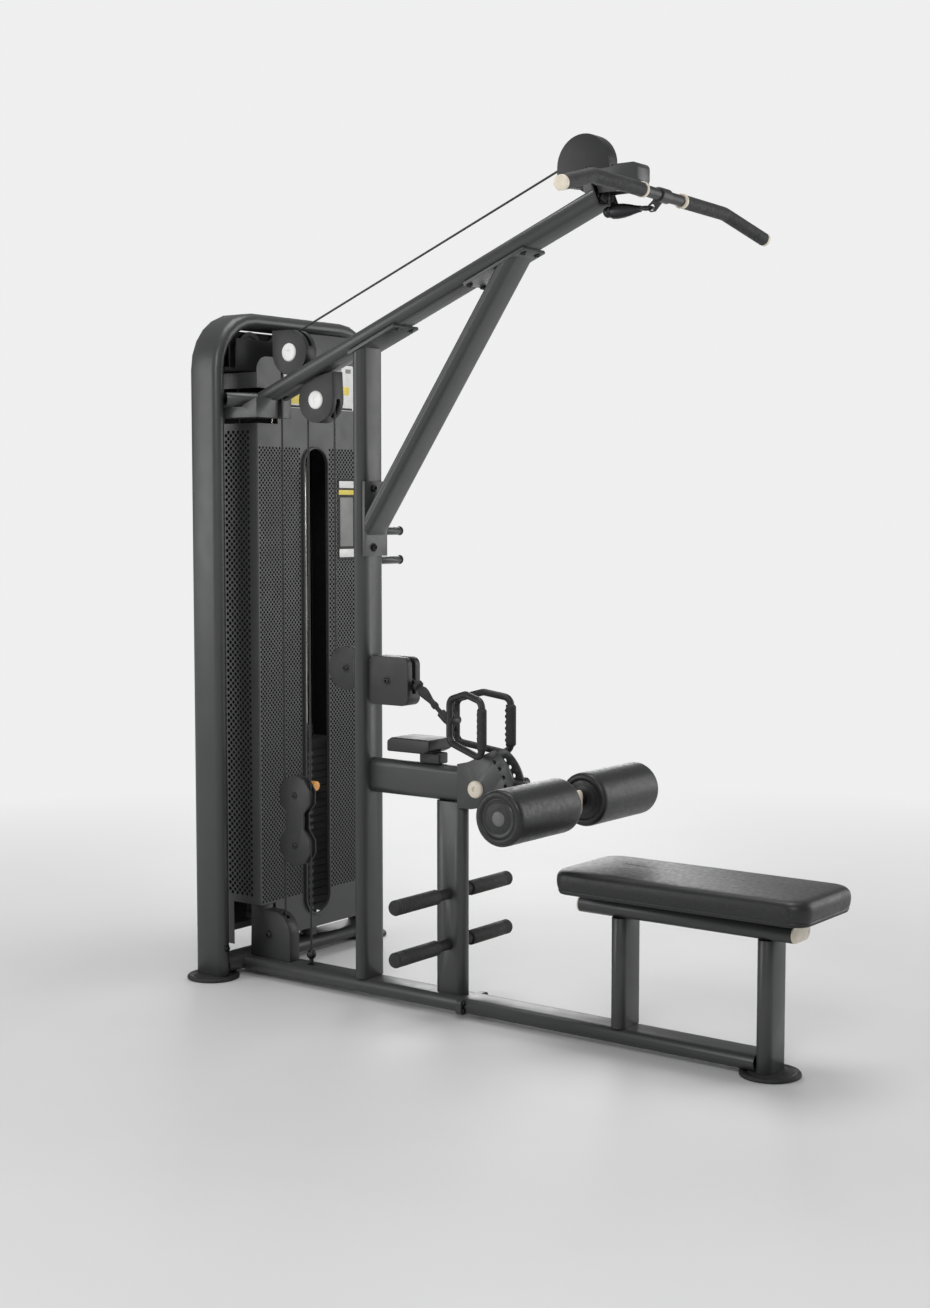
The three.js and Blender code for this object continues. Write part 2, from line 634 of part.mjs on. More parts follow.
function addKneePad() {
  // The arm turns on the pivot bolt and carries the axle of the two rollers.
  const dip = Math.atan2(PIVOT.z - ROLLER_AXIS.z, PIVOT.y - ROLLER_AXIS.y);
  const section = extrude(oval(ARM_H, ARM_W), ARM_REAR + ARM_REACH).rotateZ(Math.PI / 2);
  const arm = alongY(section)
    .translate(0, -ARM_REACH, 0)
    .rotateX(dip)
    .translate(0, PIVOT.y, PIVOT.z);
  const axle = barX([-ROLLER_X[1] + 6, ROLLER_X[1] - 6], ROLLER_AXIS.y, ROLLER_AXIS.z, 12.5, 14);
  const pivotHole = barX([-40, 40], PIVOT.y, PIVOT.z, 10.6, 14);
  add("knee_arm", cut(join(arm, axle), pivotHole), CHARCOAL);

  [-1, 1].forEach((side, i) => {
    const profile = [
      [13.2, ROLLER_X[0]],
      [ROLLER_R - 8, ROLLER_X[0]],
      [ROLLER_R, ROLLER_X[0] + 8],
      [ROLLER_R, ROLLER_X[1] - 8],
      [ROLLER_R - 8, ROLLER_X[1]],
      [13.2, ROLLER_X[1]],
      [13.2, ROLLER_X[0]],
    ].map(([r, x]) => new THREE.Vector2(r, x));
    const roller = new THREE.LatheGeometry(profile, 20).rotateZ(-Math.PI / 2);
    if (side < 0) roller.rotateY(Math.PI);
    roller.translate(0, ROLLER_AXIS.y, ROLLER_AXIS.z);
    add(["knee_roller_near", "knee_roller_far"][i], roller, VINYL);
  });

  // Spring pin in the far sector plate. Its tip stops just short of the arm.
  const turn = Math.PI - rad(SECTOR_HOLE_ANGLES[0]);
  const y = PIVOT.y + SECTOR_HOLE_R * Math.cos(turn);
  const z = PIVOT.z + SECTOR_HOLE_R * Math.sin(turn);
  const shank = barX([ARM_W / 2 + 0.8, 40], y, z, 5, 10);
  const collar = barX([28, 44], y, z, 9, 12);
  const knob = barX([43, 66], y, z, 15, 16);
  add("pop_pin", join(shank, collar, knob), BLACK);
}

function addHandleRest() {
  const stub = block([-20, 20], [968, 1035], [BEAM_Z[1] + GAP, 690]);
  const shape = new THREE.Shape([
    new THREE.Vector2(978, 698),
    new THREE.Vector2(1000, 688),
    new THREE.Vector2(1122, 688),
    new THREE.Vector2(1122, 716),
    new THREE.Vector2(1108, 726),
    new THREE.Vector2(978, 726),
  ]);
  add("handle_rest", join(stub, sideways(shape, [-50, 50])), BLACK);
}

// ---------------------------------------------------------------- seat
function addSeat() {
  const under = SEAT_TUBE_Z - TUBE_T / 2 - GAP;
  add("seat_post_front", postTube(SEAT_POST_Y[0], [FOOT_H + GAP, under]), CHARCOAL);
  add("seat_post_rear", postTube(SEAT_POST_Y[1], [RAIL_TOP + GAP, under]), CHARCOAL);

  const length = SEAT_TUBE_Y[1] - SEAT_TUBE_Y[0];
  const tube = alongY(extrude(hollowOval(TUBE_W, TUBE_T), length));
  tube.translate(0, SEAT_TUBE_Y[0], SEAT_TUBE_Z);
  const top = SEAT_TUBE_Z + TUBE_T / 2;
  const padSeat = PAD_Z[0] - GAP;
  const padPlates = PAD_PLATE_Y.flatMap((y) => [
    block([-88, 88], [y - 40, y + 40], [padSeat - 6, padSeat]),
    block([-16, 16], [y - 32, y + 32], [top - 1, padSeat - 5]),
  ]);
  add("seat_tube", join(tube, ...padPlates), CHARCOAL);

  const pad = extrude(roundedRect([-PAD_W / 2, PAD_W / 2], PAD_Y, PAD_CORNER), PAD_Z[1] - PAD_Z[0], 5);
  add("seat_pad", pad.translate(0, 0, PAD_Z[0]), VINYL);
}

// ---------------------------------------------------------------- pulleys and their guards
function pulleyGeometry() {
  const half = PULLEY_T / 2;
  const groove = PULLEY_R - CABLE_R - 0.8;
  const profile = [
    [AXLE_R + 0.5, -half],
    [PULLEY_RIM, -half],
    [groove, -3.4],
    [groove, 3.4],
    [PULLEY_RIM, half],
    [AXLE_R + 0.5, half],
    [AXLE_R + 0.5, -half],
  ].map(([r, t]) => new THREE.Vector2(r, t));
  return new THREE.LatheGeometry(profile, 16);
}

// A pulley that turns about an axis along X, or along Y where it is crosswise.
function addPulley(name, centre, crosswise = false) {
  const wheel = pulleyGeometry();
  if (!crosswise) wheel.rotateZ(-Math.PI / 2);
  add(name, wheel.translate(centre.x ?? 0, centre.y, centre.z), NYLON);
}

// A hollow guard drawn in (Y, Z): two cheeks, a rim, and the pulley's axle across the middle.
function guard(outline, pocket, axle, half, openings) {
  const shell = sideways(outline, [-half, half], 10);
  const hollow = sideways(pocket, [-PULLEY_T / 2 - 2, PULLEY_T / 2 + 2], 8);
  const pin = axle.map(({ y, z }) => barX([-half + 1, half - 1], y, z, AXLE_R, 12));
  return join(cut(shell, hollow, ...openings), ...pin);
}

const cableWay = (y, z, half = 7) => block([-half, half], y, z);

function addGuards() {
  // Domed cover over the top pulley, open below towards the boom.
  const dome = new THREE.Shape();
  dome.moveTo(452, 2106);
  dome.lineTo(452, 2164);
  dome.absarc(527, 2165, 75, Math.PI, 0, true);
  dome.lineTo(602, 2120);
  dome.lineTo(520, 2106);
  const topCover = guard(
    dome,
    circle(TOP_PULLEY.y + 6, TOP_PULLEY.z, 64),
    [TOP_PULLEY],
    20,
    [cableWay([450, 480], [2090, 2160]), cableWay([540, 620], [2130, 2190]), boomBand(GAP)],
  );
  add("top_pulley_guard", topCover, BLACK);

  // Guard on top of the boom, where the cable turns down.
  const upper = teardrop(UPPER_PULLEY, 62, { y: 1548, z: 1822 });
  add(
    "upper_pulley_guard",
    guard(upper, circle(UPPER_PULLEY.y, UPPER_PULLEY.z, 56), [UPPER_PULLEY], 22, [
      cableWay([1395, 1490], [1776, 1850]),
      cableWay([1520, 1546], [1650, 1762]),
      boomBand(GAP),
    ]),
    BLACK,
  );

  // Guard hanging below the boom, where the cable turns down again.
  const lower = teardrop(LOWER_PULLEY, 62, { y: 1330, z: 1702 });
  add(
    "lower_pulley_guard",
    guard(lower, circle(LOWER_PULLEY.y, LOWER_PULLEY.z, 56), [LOWER_PULLEY], 22, [
      cableWay([1424, 1450], [1540, 1628]),
      cableWay([1326, 1354], [1540, 1628]),
      boomBand(GAP),
    ]),
    BLACK,
  );

  const mastBack = MAST_Y + TUBE_T / 2 + GAP;
  const rowOutline = circle(ROW_PULLEY.y, ROW_PULLEY.z, 60);
  const rowGuard = guard(rowOutline, circle(ROW_PULLEY.y, ROW_PULLEY.z, 56), [ROW_PULLEY], 16, [
    cableWay([1326, 1360], [890, 980]),
    block([-40, 40], [1200, mastBack], [800, 1000]),
    cableWay([1200, 1270], [845, 925]),
  ]);
  const rowFlange = bothSides(9.5, 34).map((x) => block(x, [mastBack, mastBack + FLANGE_T], [862, 934]));
  add("row_pulley_guard", join(rowGuard, ...rowFlange), BLACK);

  const mastFront = MAST_Y - TUBE_T / 2 - GAP;
  const exitOutline = roundedRect([1068, mastFront], [808, 938], 22);
  const exitGuard = guard(exitOutline, circle(EXIT_PULLEY.y, EXIT_PULLEY.z, 56), [EXIT_PULLEY], 27, [
    cableWay([1170, 1210], [860, 925]),
    cableWay([1060, 1112], [840, 945]),
  ]);
  add("row_exit_guard", exitGuard, BLACK);

  const basePlate = new THREE.Shape();
  basePlate.moveTo(1500, RAIL_TOP + GAP);
  basePlate.lineTo(1500, 128);
  basePlate.absarc(1564, 128, 64, Math.PI, Math.PI / 2, true);
  basePlate.lineTo(1600, 192);
  basePlate.lineTo(1600, 204);
  basePlate.lineTo(1646, 204);
  basePlate.lineTo(1650, RAIL_TOP + GAP);
  const baseGuard = guard(basePlate, circle(BASE_PULLEY.y, BASE_PULLEY.z, 57), [BASE_PULLEY], 20, [
    cableWay([1520, 1545], [120, 210]),
    cableWay([1616, 1642], [120, 210]),
  ]);
  add("base_pulley_bracket", baseGuard, BLACK);
}

// A round guard with a corner that reaches out to the boom.
function teardrop(centre, r, corner) {
  const shape = new THREE.Shape();
  const reach = Math.atan2(corner.z - centre.z, corner.y - centre.y);
  const spread = Math.acos(r / Math.hypot(corner.z - centre.z, corner.y - centre.y));
  shape.absarc(centre.y, centre.z, r, reach + spread, reach - spread + 2 * Math.PI, false);
  shape.lineTo(corner.y, corner.z);
  return shape;
}

function addPulleys() {
  addPulley("top_pulley", TOP_PULLEY);
  addPulley("upper_pulley", UPPER_PULLEY);
  addPulley("lower_pulley", LOWER_PULLEY);
  addPulley("row_pulley", ROW_PULLEY);
  addPulley("exit_pulley", EXIT_PULLEY);
  addPulley("base_pulley", BASE_PULLEY);
  addPulley("block_pulley_lower", { y: BLOCK_Y, z: BLOCK_Z[0] });
  addPulley("block_pulley_upper", { y: BLOCK_Y, z: BLOCK_Z[1] });
  addPulley("head_pulley_near", { x: PULLEY_R, y: STACK_Y, z: HEAD_PULLEY_Z }, true);
  addPulley("head_pulley_far", { x: STACK_X - PULLEY_R, y: STACK_Y, z: HEAD_PULLEY_Z }, true);
}

// The travelling block: two figure-eight cheeks, a spacer between them and two axles.
function addBlock() {
  const [z0, z1] = BLOCK_Z;
  const waist = 34;
  const neck = 22;
  const middle = (z0 + z1) / 2;
  const shape = new THREE.Shape();
  const open = Math.asin((z1 - middle - neck) / BLOCK_LOBE_R);
  shape.absarc(BLOCK_Y, z1, BLOCK_LOBE_R, -open, Math.PI + open, false);
  shape.quadraticCurveTo(BLOCK_Y - waist, middle, BLOCK_Y - BLOCK_LOBE_R * Math.cos(open), middle - neck);
  shape.absarc(BLOCK_Y, z0, BLOCK_LOBE_R, Math.PI - open, 2 * Math.PI + open, false);
  shape.quadraticCurveTo(BLOCK_Y + waist, middle, BLOCK_Y + BLOCK_LOBE_R * Math.cos(open), middle + neck);
  const inner = PULLEY_T / 2 + 2;
  const cheeks = bothSides(inner, inner + 5).map((x) => sideways(shape, x));
  const spacer = block([-inner - 1, inner + 1], [BLOCK_Y - 18, BLOCK_Y + 18], [middle - 10, middle + 10]);
  const axles = BLOCK_Z.map((z) => barX([-inner - 1, inner + 1], BLOCK_Y, z, AXLE_R, 12));
  add("travelling_block", join(...cheeks, spacer, ...axles), BLACK);
}

// ---------------------------------------------------------------- cables
// A point on the cable round a pulley, at an angle in (Y, Z).
const onPulley = (centre, angle) =>
  point(0, centre.y + PULLEY_R * Math.cos(angle), centre.z + PULLEY_R * Math.sin(angle));

// Points round a pulley from one angle to another, in steps of about 15 degrees.
function wrap(centre, from, to) {
  const steps = Math.ceil(Math.abs(to - from) / rad(15));
  return Array.from({ length: steps + 1 }, (_, i) => onPulley(centre, from + ((to - from) * i) / steps));
}

// A cable through a list of points, each wrap's points being close enough to need no rounding.
function cableThrough(points) {
  const route = new Route([points[0], points.at(-1)], 1);
  route.stations = points;
  route.tangents = points.map((p, i) => {
    const before = points[Math.max(i - 1, 0)];
    const after = points[Math.min(i + 1, points.length - 1)];
    return after.clone().sub(before).normalize();
  });
  return sweep(circle(0, 0, CABLE_R), route, 4);
}

function addCables() {
  const boomRise = Math.PI / 2 - rad(BOOM_SLOPE);
  // From the lat bar's end, over the top pulley, along the boom and over the upper pulley.
  add(
    "lat_cable_boom",
    cableThrough([
      point(0, HOOK.y, TOP_PULLEY.z - 40),
      ...wrap(TOP_PULLEY, Math.PI, boomRise),
      ...wrap(UPPER_PULLEY, boomRise, 0),
      point(0, RUN_REAR_Y, 1700),
    ]),
    CABLE,
  );
  add(
    "lat_cable_drop",
    cableThrough([point(0, HOOK.y, HOOK.z + 14 + GAP), point(0, HOOK.y, TOP_PULLEY.z - 40 - GAP)]),
    CABLE,
  );
  // Down to the travelling block, round its upper pulley and back up.
  const blockUpper = { y: BLOCK_Y, z: BLOCK_Z[1] };
  add(
    "lat_cable_loop",
    cableThrough([
      point(0, RUN_REAR_Y, 1700 - GAP),
      ...wrap(blockUpper, 0, -Math.PI),
      point(0, RUN_MID_Y, LOWER_PULLEY.z - GAP),
    ]),
    CABLE,
  );
  // Over the lower pulley, down in front of it, under the row pulley and over the exit pulley.
  const dy = EXIT_PULLEY.y - ROW_PULLEY.y;
  const dz = EXIT_PULLEY.z - ROW_PULLEY.z;
  const crossing = Math.atan2(dz, dy) + Math.acos((2 * PULLEY_R) / Math.hypot(dy, dz));
  add(
    "row_cable_tower",
    cableThrough([
      point(0, RUN_MID_Y, LOWER_PULLEY.z + GAP),
      ...wrap(LOWER_PULLEY, rad(4), Math.PI),
      ...wrap(ROW_PULLEY, 0, crossing),
      ...wrap(EXIT_PULLEY, crossing + Math.PI, rad(ROW_LEAVE)),
      onRowLine(40),
    ]),
    CABLE,
  );
  add("row_cable_out", cableThrough([onRowLine(40 + GAP), onRowLine(64 - GAP)]), CABLE);

  // From the anchor on the rail, over the travelling block's lower pulley and down to the base pulley.
  const blockLower = { y: BLOCK_Y, z: BLOCK_Z[0] };
  const stackLoop = cableThrough([
    point(0, RUN_MID_Y, ANCHOR_Z),
    ...wrap(blockLower, Math.PI, 0),
    point(0, RUN_REAR_Y, BASE_PULLEY.z + 1),
  ]);
  const ball = new THREE.SphereGeometry(14, 10, 6).rotateX(Math.PI / 2).translate(0, RUN_MID_Y, ANCHOR_Z);
  const eye = bar(point(0, RUN_MID_Y, RAIL_TOP + GAP), point(0, RUN_MID_Y, ANCHOR_Z), 8, 12);
  add("stack_cable_loop", join(stackLoop, ball, eye), CABLE);

  // Under the base pulley, up inside the tower, over both head pulleys.
  const near = { x: PULLEY_R, from: Math.PI, to: Math.PI / 2 };
  const far = { x: STACK_X - PULLEY_R, from: Math.PI / 2, to: 0 };
  const overHead = [near, far].flatMap(({ x, from, to }) =>
    wrap({ y: x, z: HEAD_PULLEY_Z }, from, to).map((p) => point(p.y, STACK_Y, p.z)),
  );
  const tower = [...wrap(BASE_PULLEY, Math.PI, 2 * Math.PI), ...overHead];
  add("stack_cable_tower", cableThrough(tower), CABLE);
  const headTop = PLATE_Z0 + PLATES * PLATE_PITCH + GAP + 80;
  const drop = [point(STACK_X, STACK_Y, headTop + GAP), point(STACK_X, STACK_Y, HEAD_PULLEY_Z - 1)];
  add("stack_cable_drop", cableThrough(drop), CABLE);
}

// A point on the straight line from the exit pulley to the row handle.
function onRowLine(distance) {
  const angle = rad(ROW_LEAVE);
  const along = point(0, -Math.sin(angle), Math.cos(angle));
  return onPulley(EXIT_PULLEY, angle).addScaledVector(along, distance);
}

// ---------------------------------------------------------------- lat bar and row handle
function addLatBar() {
  // Cable end, tapered sleeve and the ring that holds the bar.
  const stop = new THREE.SphereGeometry(14, 10, 6).rotateX(Math.PI / 2).translate(0, HOOK.y, HOOK.z);
  const sleeveStart = HOOK.y - 6; // clear of the cable above the stop
  const sleeveLength = sleeveStart - HOOK.ringY - HOOK.ringR + 4;
  const sleeve = new THREE.CylinderGeometry(HOOK.sleeve[0], HOOK.sleeve[1], sleeveLength, 12);
  sleeve.translate(0, sleeveStart - sleeveLength / 2, HOOK.z);
  const ring = new THREE.TorusGeometry(HOOK.ringR, HOOK.wire, 6, 14).translate(0, HOOK.ringY, HOOK.z);
  const ringBack = HOOK.ringY + HOOK.ringR;
  const nub = block([-5, 5], [ringBack - 1, ringBack + 8], [HOOK.z - 4, HOOK.z + 4]);
  add("lat_hook", join(stop, sleeve, ring, nub), CHROME);

  const side = (s, from) => [
    point(s * from, 0, 0),
    point(s * BAR_STRAIGHT, 0, 0),
    point(s * BAR_HALF, -BAR_FORWARD, -BAR_DROP),
  ];
  const grips = [-1, 1].map((s) => rod(side(s, 105), 90, BAR.grip, 12, 8));
  const core = bar(point(-110, 0, 0), point(110, 0, 0), BAR.r, 12);
  const collar = bar(point(-22, 0, 0), point(22, 0, 0), BAR.r + 4, 14);
  const turned = join(...grips, core, collar).rotateZ(rad(BAR.yaw)).translate(0, BAR.y, BAR.z);
  const eyeY = HOOK.ringY - HOOK.ringR;
  const lug = new THREE.Shape([
    new THREE.Vector2(BAR.y - 10, BAR.z - 2),
    new THREE.Vector2(BAR.y + 4, BAR.z + 4),
    new THREE.Vector2(eyeY + 11, HOOK.z + 11),
    new THREE.Vector2(eyeY + 11, HOOK.z - 11),
    new THREE.Vector2(eyeY - 12, HOOK.z - 11),
  ]);
  lug.holes.push(circle(eyeY, HOOK.z, 8));
  add("lat_bar", join(turned, sideways(lug, [-2.5, 2.5], 5)), BLACK);
}

function addRowHandle() {
  // Cable end and swivel: a collar, a tapered sleeve and a link down to the hub.
  const collar = bar(onRowLine(64), onRowLine(76), 15, 12);
  const sleeve = bar(onRowLine(74), onRowLine(126), 13.5, 12);
  const link = bar(onRowLine(124), onRowLine(178), 6, 8);
  add("row_hook", join(collar, sleeve, link), CHROME);

  const loops = [-1, 1].map((s) => {
    const rear = (z) => point(s * HANDLE_SPREAD[0], HANDLE_HUB.y - 8, z);
    const front = (z) => point(s * HANDLE_SPREAD[1], HANDLE_GRIP_Y, z);
    const [rearLow, rearHigh] = HANDLE_REAR_Z;
    const [gripLow, gripHigh] = HANDLE_GRIP_Z;
    const frame = rod(
      [
        rear(HANDLE_HUB.z + 6),
        rear(rearHigh),
        front(gripHigh),
        front(gripLow),
        rear(rearLow),
        rear(HANDLE_HUB.z + 5.9),
      ],
      HANDLE_BEND,
      HANDLE_R,
      8,
      30,
    );
    const grip = bar(front(gripLow + 22), front(gripHigh - 22), 14, 12);
    return join(frame, grip);
  });
  const tieHalf = HANDLE_SPREAD[0] + 6;
  const tie = barX([-tieHalf, tieHalf], HANDLE_HUB.y - 8, HANDLE_HUB.z + 6, 11, 12);
  const hub = bar(onRowLine(172), onRowLine(214), 11, 12);
  const socket = cut(hub, bar(onRowLine(160), onRowLine(184), 6.6, 12));
  add("row_handle", join(...loops, tie, socket), BLACK);
}

addFloorFrame();
addTower();
addShroud();
addStack();
addMast();
addBoom();
addBrace();
addKneeFrame();
addKneePad();
addHandleRest();
addSeat();
addGuards();
addPulleys();
addBlock();
addCables();
addLatBar();
addRowHandle();

export default machine;
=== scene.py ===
"""Looks of the lat pull-down and low-row machine, in metres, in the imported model's own frame."""
import json
import math

import bpy
import bmesh
from mathutils import Matrix, Vector
from mathutils.geometry import delaunay_2d_cdt


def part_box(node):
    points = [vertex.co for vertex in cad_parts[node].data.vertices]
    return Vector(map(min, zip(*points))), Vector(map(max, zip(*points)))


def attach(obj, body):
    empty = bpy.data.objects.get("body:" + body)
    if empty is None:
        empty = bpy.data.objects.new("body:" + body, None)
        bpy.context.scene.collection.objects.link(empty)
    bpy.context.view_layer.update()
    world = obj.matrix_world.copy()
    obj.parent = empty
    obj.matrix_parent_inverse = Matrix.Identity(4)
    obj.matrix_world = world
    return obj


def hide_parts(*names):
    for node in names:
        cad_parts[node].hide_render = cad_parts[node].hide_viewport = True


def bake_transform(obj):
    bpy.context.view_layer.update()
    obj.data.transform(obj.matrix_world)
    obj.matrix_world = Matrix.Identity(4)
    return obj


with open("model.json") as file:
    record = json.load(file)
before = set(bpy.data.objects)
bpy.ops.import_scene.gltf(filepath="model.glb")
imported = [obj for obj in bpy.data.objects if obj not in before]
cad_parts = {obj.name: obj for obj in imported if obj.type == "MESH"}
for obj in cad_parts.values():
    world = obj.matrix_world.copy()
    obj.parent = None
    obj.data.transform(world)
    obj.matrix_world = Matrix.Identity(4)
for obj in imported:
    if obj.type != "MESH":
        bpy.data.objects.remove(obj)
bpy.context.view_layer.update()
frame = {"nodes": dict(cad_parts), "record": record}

NODES = frame["nodes"]
BODY_OF = {n: b for b, nodes in frame["record"]["behaviour"]["bodies"].items() for n in nodes}

MM = 0.001
ORIGIN = Vector((-0.0485, -0.840, 0.0))  # the seat's centre plane and the front foot


def at(x, y, z):
    """A point in millimetres from the seat's centre plane, the front foot and the floor."""
    return Vector((x, y, z)) * MM + ORIGIN


def in_yz(u, v, level):
    """The place of a point drawn in the (Y, Z) plane at a level along X."""
    return at(level, u, v)


def in_xz(u, v, level):
    """The place of a point drawn in the (X, Z) plane at a level along Y."""
    return at(u, level, v)


def centre(node):
    low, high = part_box(node)
    return (low + high) / 2


# Shared places, in the same millimetres.
RUN_REAR, RUN_FRONT = 1532.5, 1436.5  # the cables' two upright runs
BLOCK_Y = (RUN_REAR + RUN_FRONT) / 2
PULLEY_R = 48  # at the cable's middle
STACK_X, STACK_Y = 214.5, 1702
PLATE_Z0, PLATE_PITCH = 134, 22
EXIT_Y, EXIT_Z = 1139, 873  # the pulley that the row cable leaves
HOOK_Y, HOOK_Z = 464, 2048
MAST_FRONT = 1196.2
RAIL_JOINT_Y = 875
PIVOT_Y, PIVOT_Z = 843, 607  # the knee arm's pivot
SEAT_TUBE_Z = 350
TUBE_W, TUBE_T = 95, 41  # the flat-sided oval frame tube
BOOM_Y, BOOM_Z = 979, 1881.5  # a point on the boom's centre line
BOOM_SLOPE = math.radians(22.17)


def on_boom(y):
    """The point of the boom's centre line that is y behind the front foot."""
    return at(0, y, BOOM_Z - (y - BOOM_Y) * math.tan(BOOM_SLOPE))


# ---------------------------------------------------------------- camera, floor and light
PALE = (0.86, 0.865, 0.86)
AMBIENT = 0.34  # the backdrop's strength as a light


def add_camera():
    data = bpy.data.cameras.new("camera")
    camera = bpy.data.objects.new("camera", data)
    bpy.context.scene.collection.objects.link(camera)
    camera.location = (-3.9595, -2.857, 1.339)
    camera.rotation_euler = (math.radians(85.494), 0, math.radians(-53.3))
    data.lens = 51.69
    data.sensor_width = 36
    bpy.context.scene.camera = camera


def area_light(name, location, target, size, power):
    data = bpy.data.lights.new(name, "AREA")
    data.size = size
    data.energy = power
    light = bpy.data.objects.new(name, data)
    bpy.context.scene.collection.objects.link(light)
    light.location = location
    light.visible_camera = False
    light.rotation_euler = (Vector(target) - Vector(location)).to_track_quat("-Z", "Y").to_euler()


def add_world():
    """A pale backdrop to the camera that lights the machine only softly."""
    world = bpy.data.worlds.new("studio")
    world.use_nodes = True
    nodes, links = world.node_tree.nodes, world.node_tree.links
    background = nodes["Background"]
    background.inputs["Color"].default_value = (*PALE, 1)
    rays = nodes.new("ShaderNodeLightPath")
    strength = nodes.new("ShaderNodeMapRange")
    strength.inputs["To Min"].default_value = AMBIENT
    strength.inputs["To Max"].default_value = 1.0
    links.new(rays.outputs["Is Camera Ray"], strength.inputs["Value"])
    links.new(strength.outputs["Result"], background.inputs["Strength"])
    bpy.context.scene.world = world


def add_lights():
    bpy.context.scene.view_settings.view_transform = "Standard"
    area_light("key", (-4.2, -2.6, 3.6), (0, 0, 1.1), 1.6, 80)
    area_light("top", (0.2, 0.2, 5.0), (0, 0, 0.8), 2.6, 95)
    # Two softboxes that the frame's flat sides mirror towards the camera, and one behind for the top edges.
    area_light("left_box", (-4.0, 3.4, 1.9), (0, 0.3, 1.1), 3.0, 75)
    area_light("right_box", (4.2, -3.2, 1.9), (0, 0, 1.0), 3.0, 75)
    area_light("back_box", (3.8, 3.0, 2.0), (0, 0, 0.9), 2.6, 70)


# ---------------------------------------------------------------- materials
class Graph:
    """A material's node tree with short ways to add and link nodes."""

    def __init__(self, name):
        self.material = bpy.data.materials.new(name)
        self.material.use_nodes = True
        self.nodes = self.material.node_tree.nodes
        self.links = self.material.node_tree.links
        self.shader = self.nodes["Principled BSDF"]
        self.place = self.nodes.new("ShaderNodeTexCoord").outputs["Object"]

    def node(self, kind, **inputs):
        made = self.nodes.new(kind)
        for key, value in inputs.items():
            self.feed(made.inputs[key.replace("_", " ")], value)
        return made

    def feed(self, socket, value):
        if isinstance(value, bpy.types.NodeSocket):
            self.links.new(value, socket)
        else:
            socket.default_value = value

    def noise(self, size_mm, detail=3.0, roughness=0.55):
        made = self.node("ShaderNodeTexNoise", Vector=self.place, Detail=detail, Roughness=roughness)
        made.inputs["Scale"].default_value = 1000 / size_mm
        return made.outputs["Fac"]

    def cells(self, size_mm, feature="F1"):
        made = self.nodes.new("ShaderNodeTexVoronoi")
        made.feature = feature
        self.feed(made.inputs["Vector"], self.place)
        made.inputs["Scale"].default_value = 1000 / size_mm
        return made.outputs["Distance"]

    def between(self, value, low, high, from_low=0.3, from_high=0.7):
        """Maps a texture's middle range to the range given."""
        made = self.nodes.new("ShaderNodeMapRange")
        self.feed(made.inputs["Value"], value)
        made.inputs["From Min"].default_value = from_low
        made.inputs["From Max"].default_value = from_high
        made.inputs["To Min"].default_value = low
        made.inputs["To Max"].default_value = high
        return made.outputs["Result"]

    def tones(self, value, dark, light, low=0.3, high=0.7):
        ramp = self.nodes.new("ShaderNodeValToRGB")
        ramp.color_ramp.elements[0].position = low
        ramp.color_ramp.elements[0].color = (*dark, 1)
        ramp.color_ramp.elements[1].position = high
        ramp.color_ramp.elements[1].color = (*light, 1)
        self.feed(ramp.inputs["Fac"], value)
        return ramp.outputs["Color"]

    def bump(self, height, strength, depth_mm, below=None):
        made = self.node("ShaderNodeBump", Height=height, Strength=strength, Distance=depth_mm * MM)
        if below is not None:
            self.feed(made.inputs["Normal"], below)
        return made.outputs["Normal"]

    def sum(self, a, b, share):
        made = self.nodes.new("ShaderNodeMath")
        made.operation = "MULTIPLY_ADD"
        self.feed(made.inputs[0], b)
        made.inputs[1].default_value = share
        self.feed(made.inputs[2], a)
        return made.outputs["Value"]


def shade(color, factor):
    return tuple(min(1.0, c * factor) for c in color)


def powder_coat(name, color, roughness=0.42, grain_mm=1.1, metallic=0.0):
    """Powder-coated steel: fine orange peel, faint mottling and uneven gloss."""
    g = Graph(name)
    mottle = g.sum(g.noise(160, 3), g.noise(1.8, 2), 0.5)
    g.feed(g.shader.inputs["Base Color"], g.tones(mottle, shade(color, 0.9), shade(color, 1.1), 0.5, 1.0))
    g.feed(g.shader.inputs["Roughness"], g.between(g.noise(60, 4), roughness - 0.04, roughness + 0.05))
    g.shader.inputs["Metallic"].default_value = metallic
    peel = g.bump(g.noise(grain_mm, 2), 0.22, 0.12)
    g.feed(g.shader.inputs["Normal"], g.bump(g.noise(14, 2), 0.08, 0.3, peel))
    return g.material


def plated(name, color, roughness=0.16):
    """Polished plating with drawing marks along its length and faint smears."""
    g = Graph(name)
    stretched = g.node("ShaderNodeMapping", Vector=g.place, Scale=(1, 1, 0.02))
    lines = g.node("ShaderNodeTexNoise", Vector=stretched.outputs["Vector"], Detail=2.0)
    lines.inputs["Scale"].default_value = 900
    g.shader.inputs["Metallic"].default_value = 1.0
    g.feed(g.shader.inputs["Base Color"], g.tones(g.noise(60), shade(color, 0.93), color))
    smears = g.sum(g.between(g.noise(25, 5), roughness - 0.05, roughness + 0.1), lines.outputs["Fac"], 0.06)
    g.feed(g.shader.inputs["Roughness"], smears)
    g.feed(g.shader.inputs["Normal"], g.bump(lines.outputs["Fac"], 0.06, 0.05))
    return g.material


def vinyl(name, color, speck):
    """Grained upholstery vinyl: rounded pebbles, small pale specks and a soft sheen."""
    g = Graph(name)
    pebbles = g.cells(1.5)
    specks = g.noise(1.6, 1, 0.4)
    tint = g.tones(specks, color, speck, 0.52, 0.75)
    g.feed(g.shader.inputs["Base Color"], tint)
    g.feed(g.shader.inputs["Roughness"], g.between(g.noise(12, 4), 0.34, 0.5))
    g.shader.inputs["Sheen Weight"].default_value = 0.06
    g.shader.inputs["Sheen Roughness"].default_value = 0.4
    soft = g.bump(g.noise(60, 2), 0.1, 1.2)
    g.feed(g.shader.inputs["Normal"], g.bump(pebbles, 0.35, 0.25, soft))
    return g.material


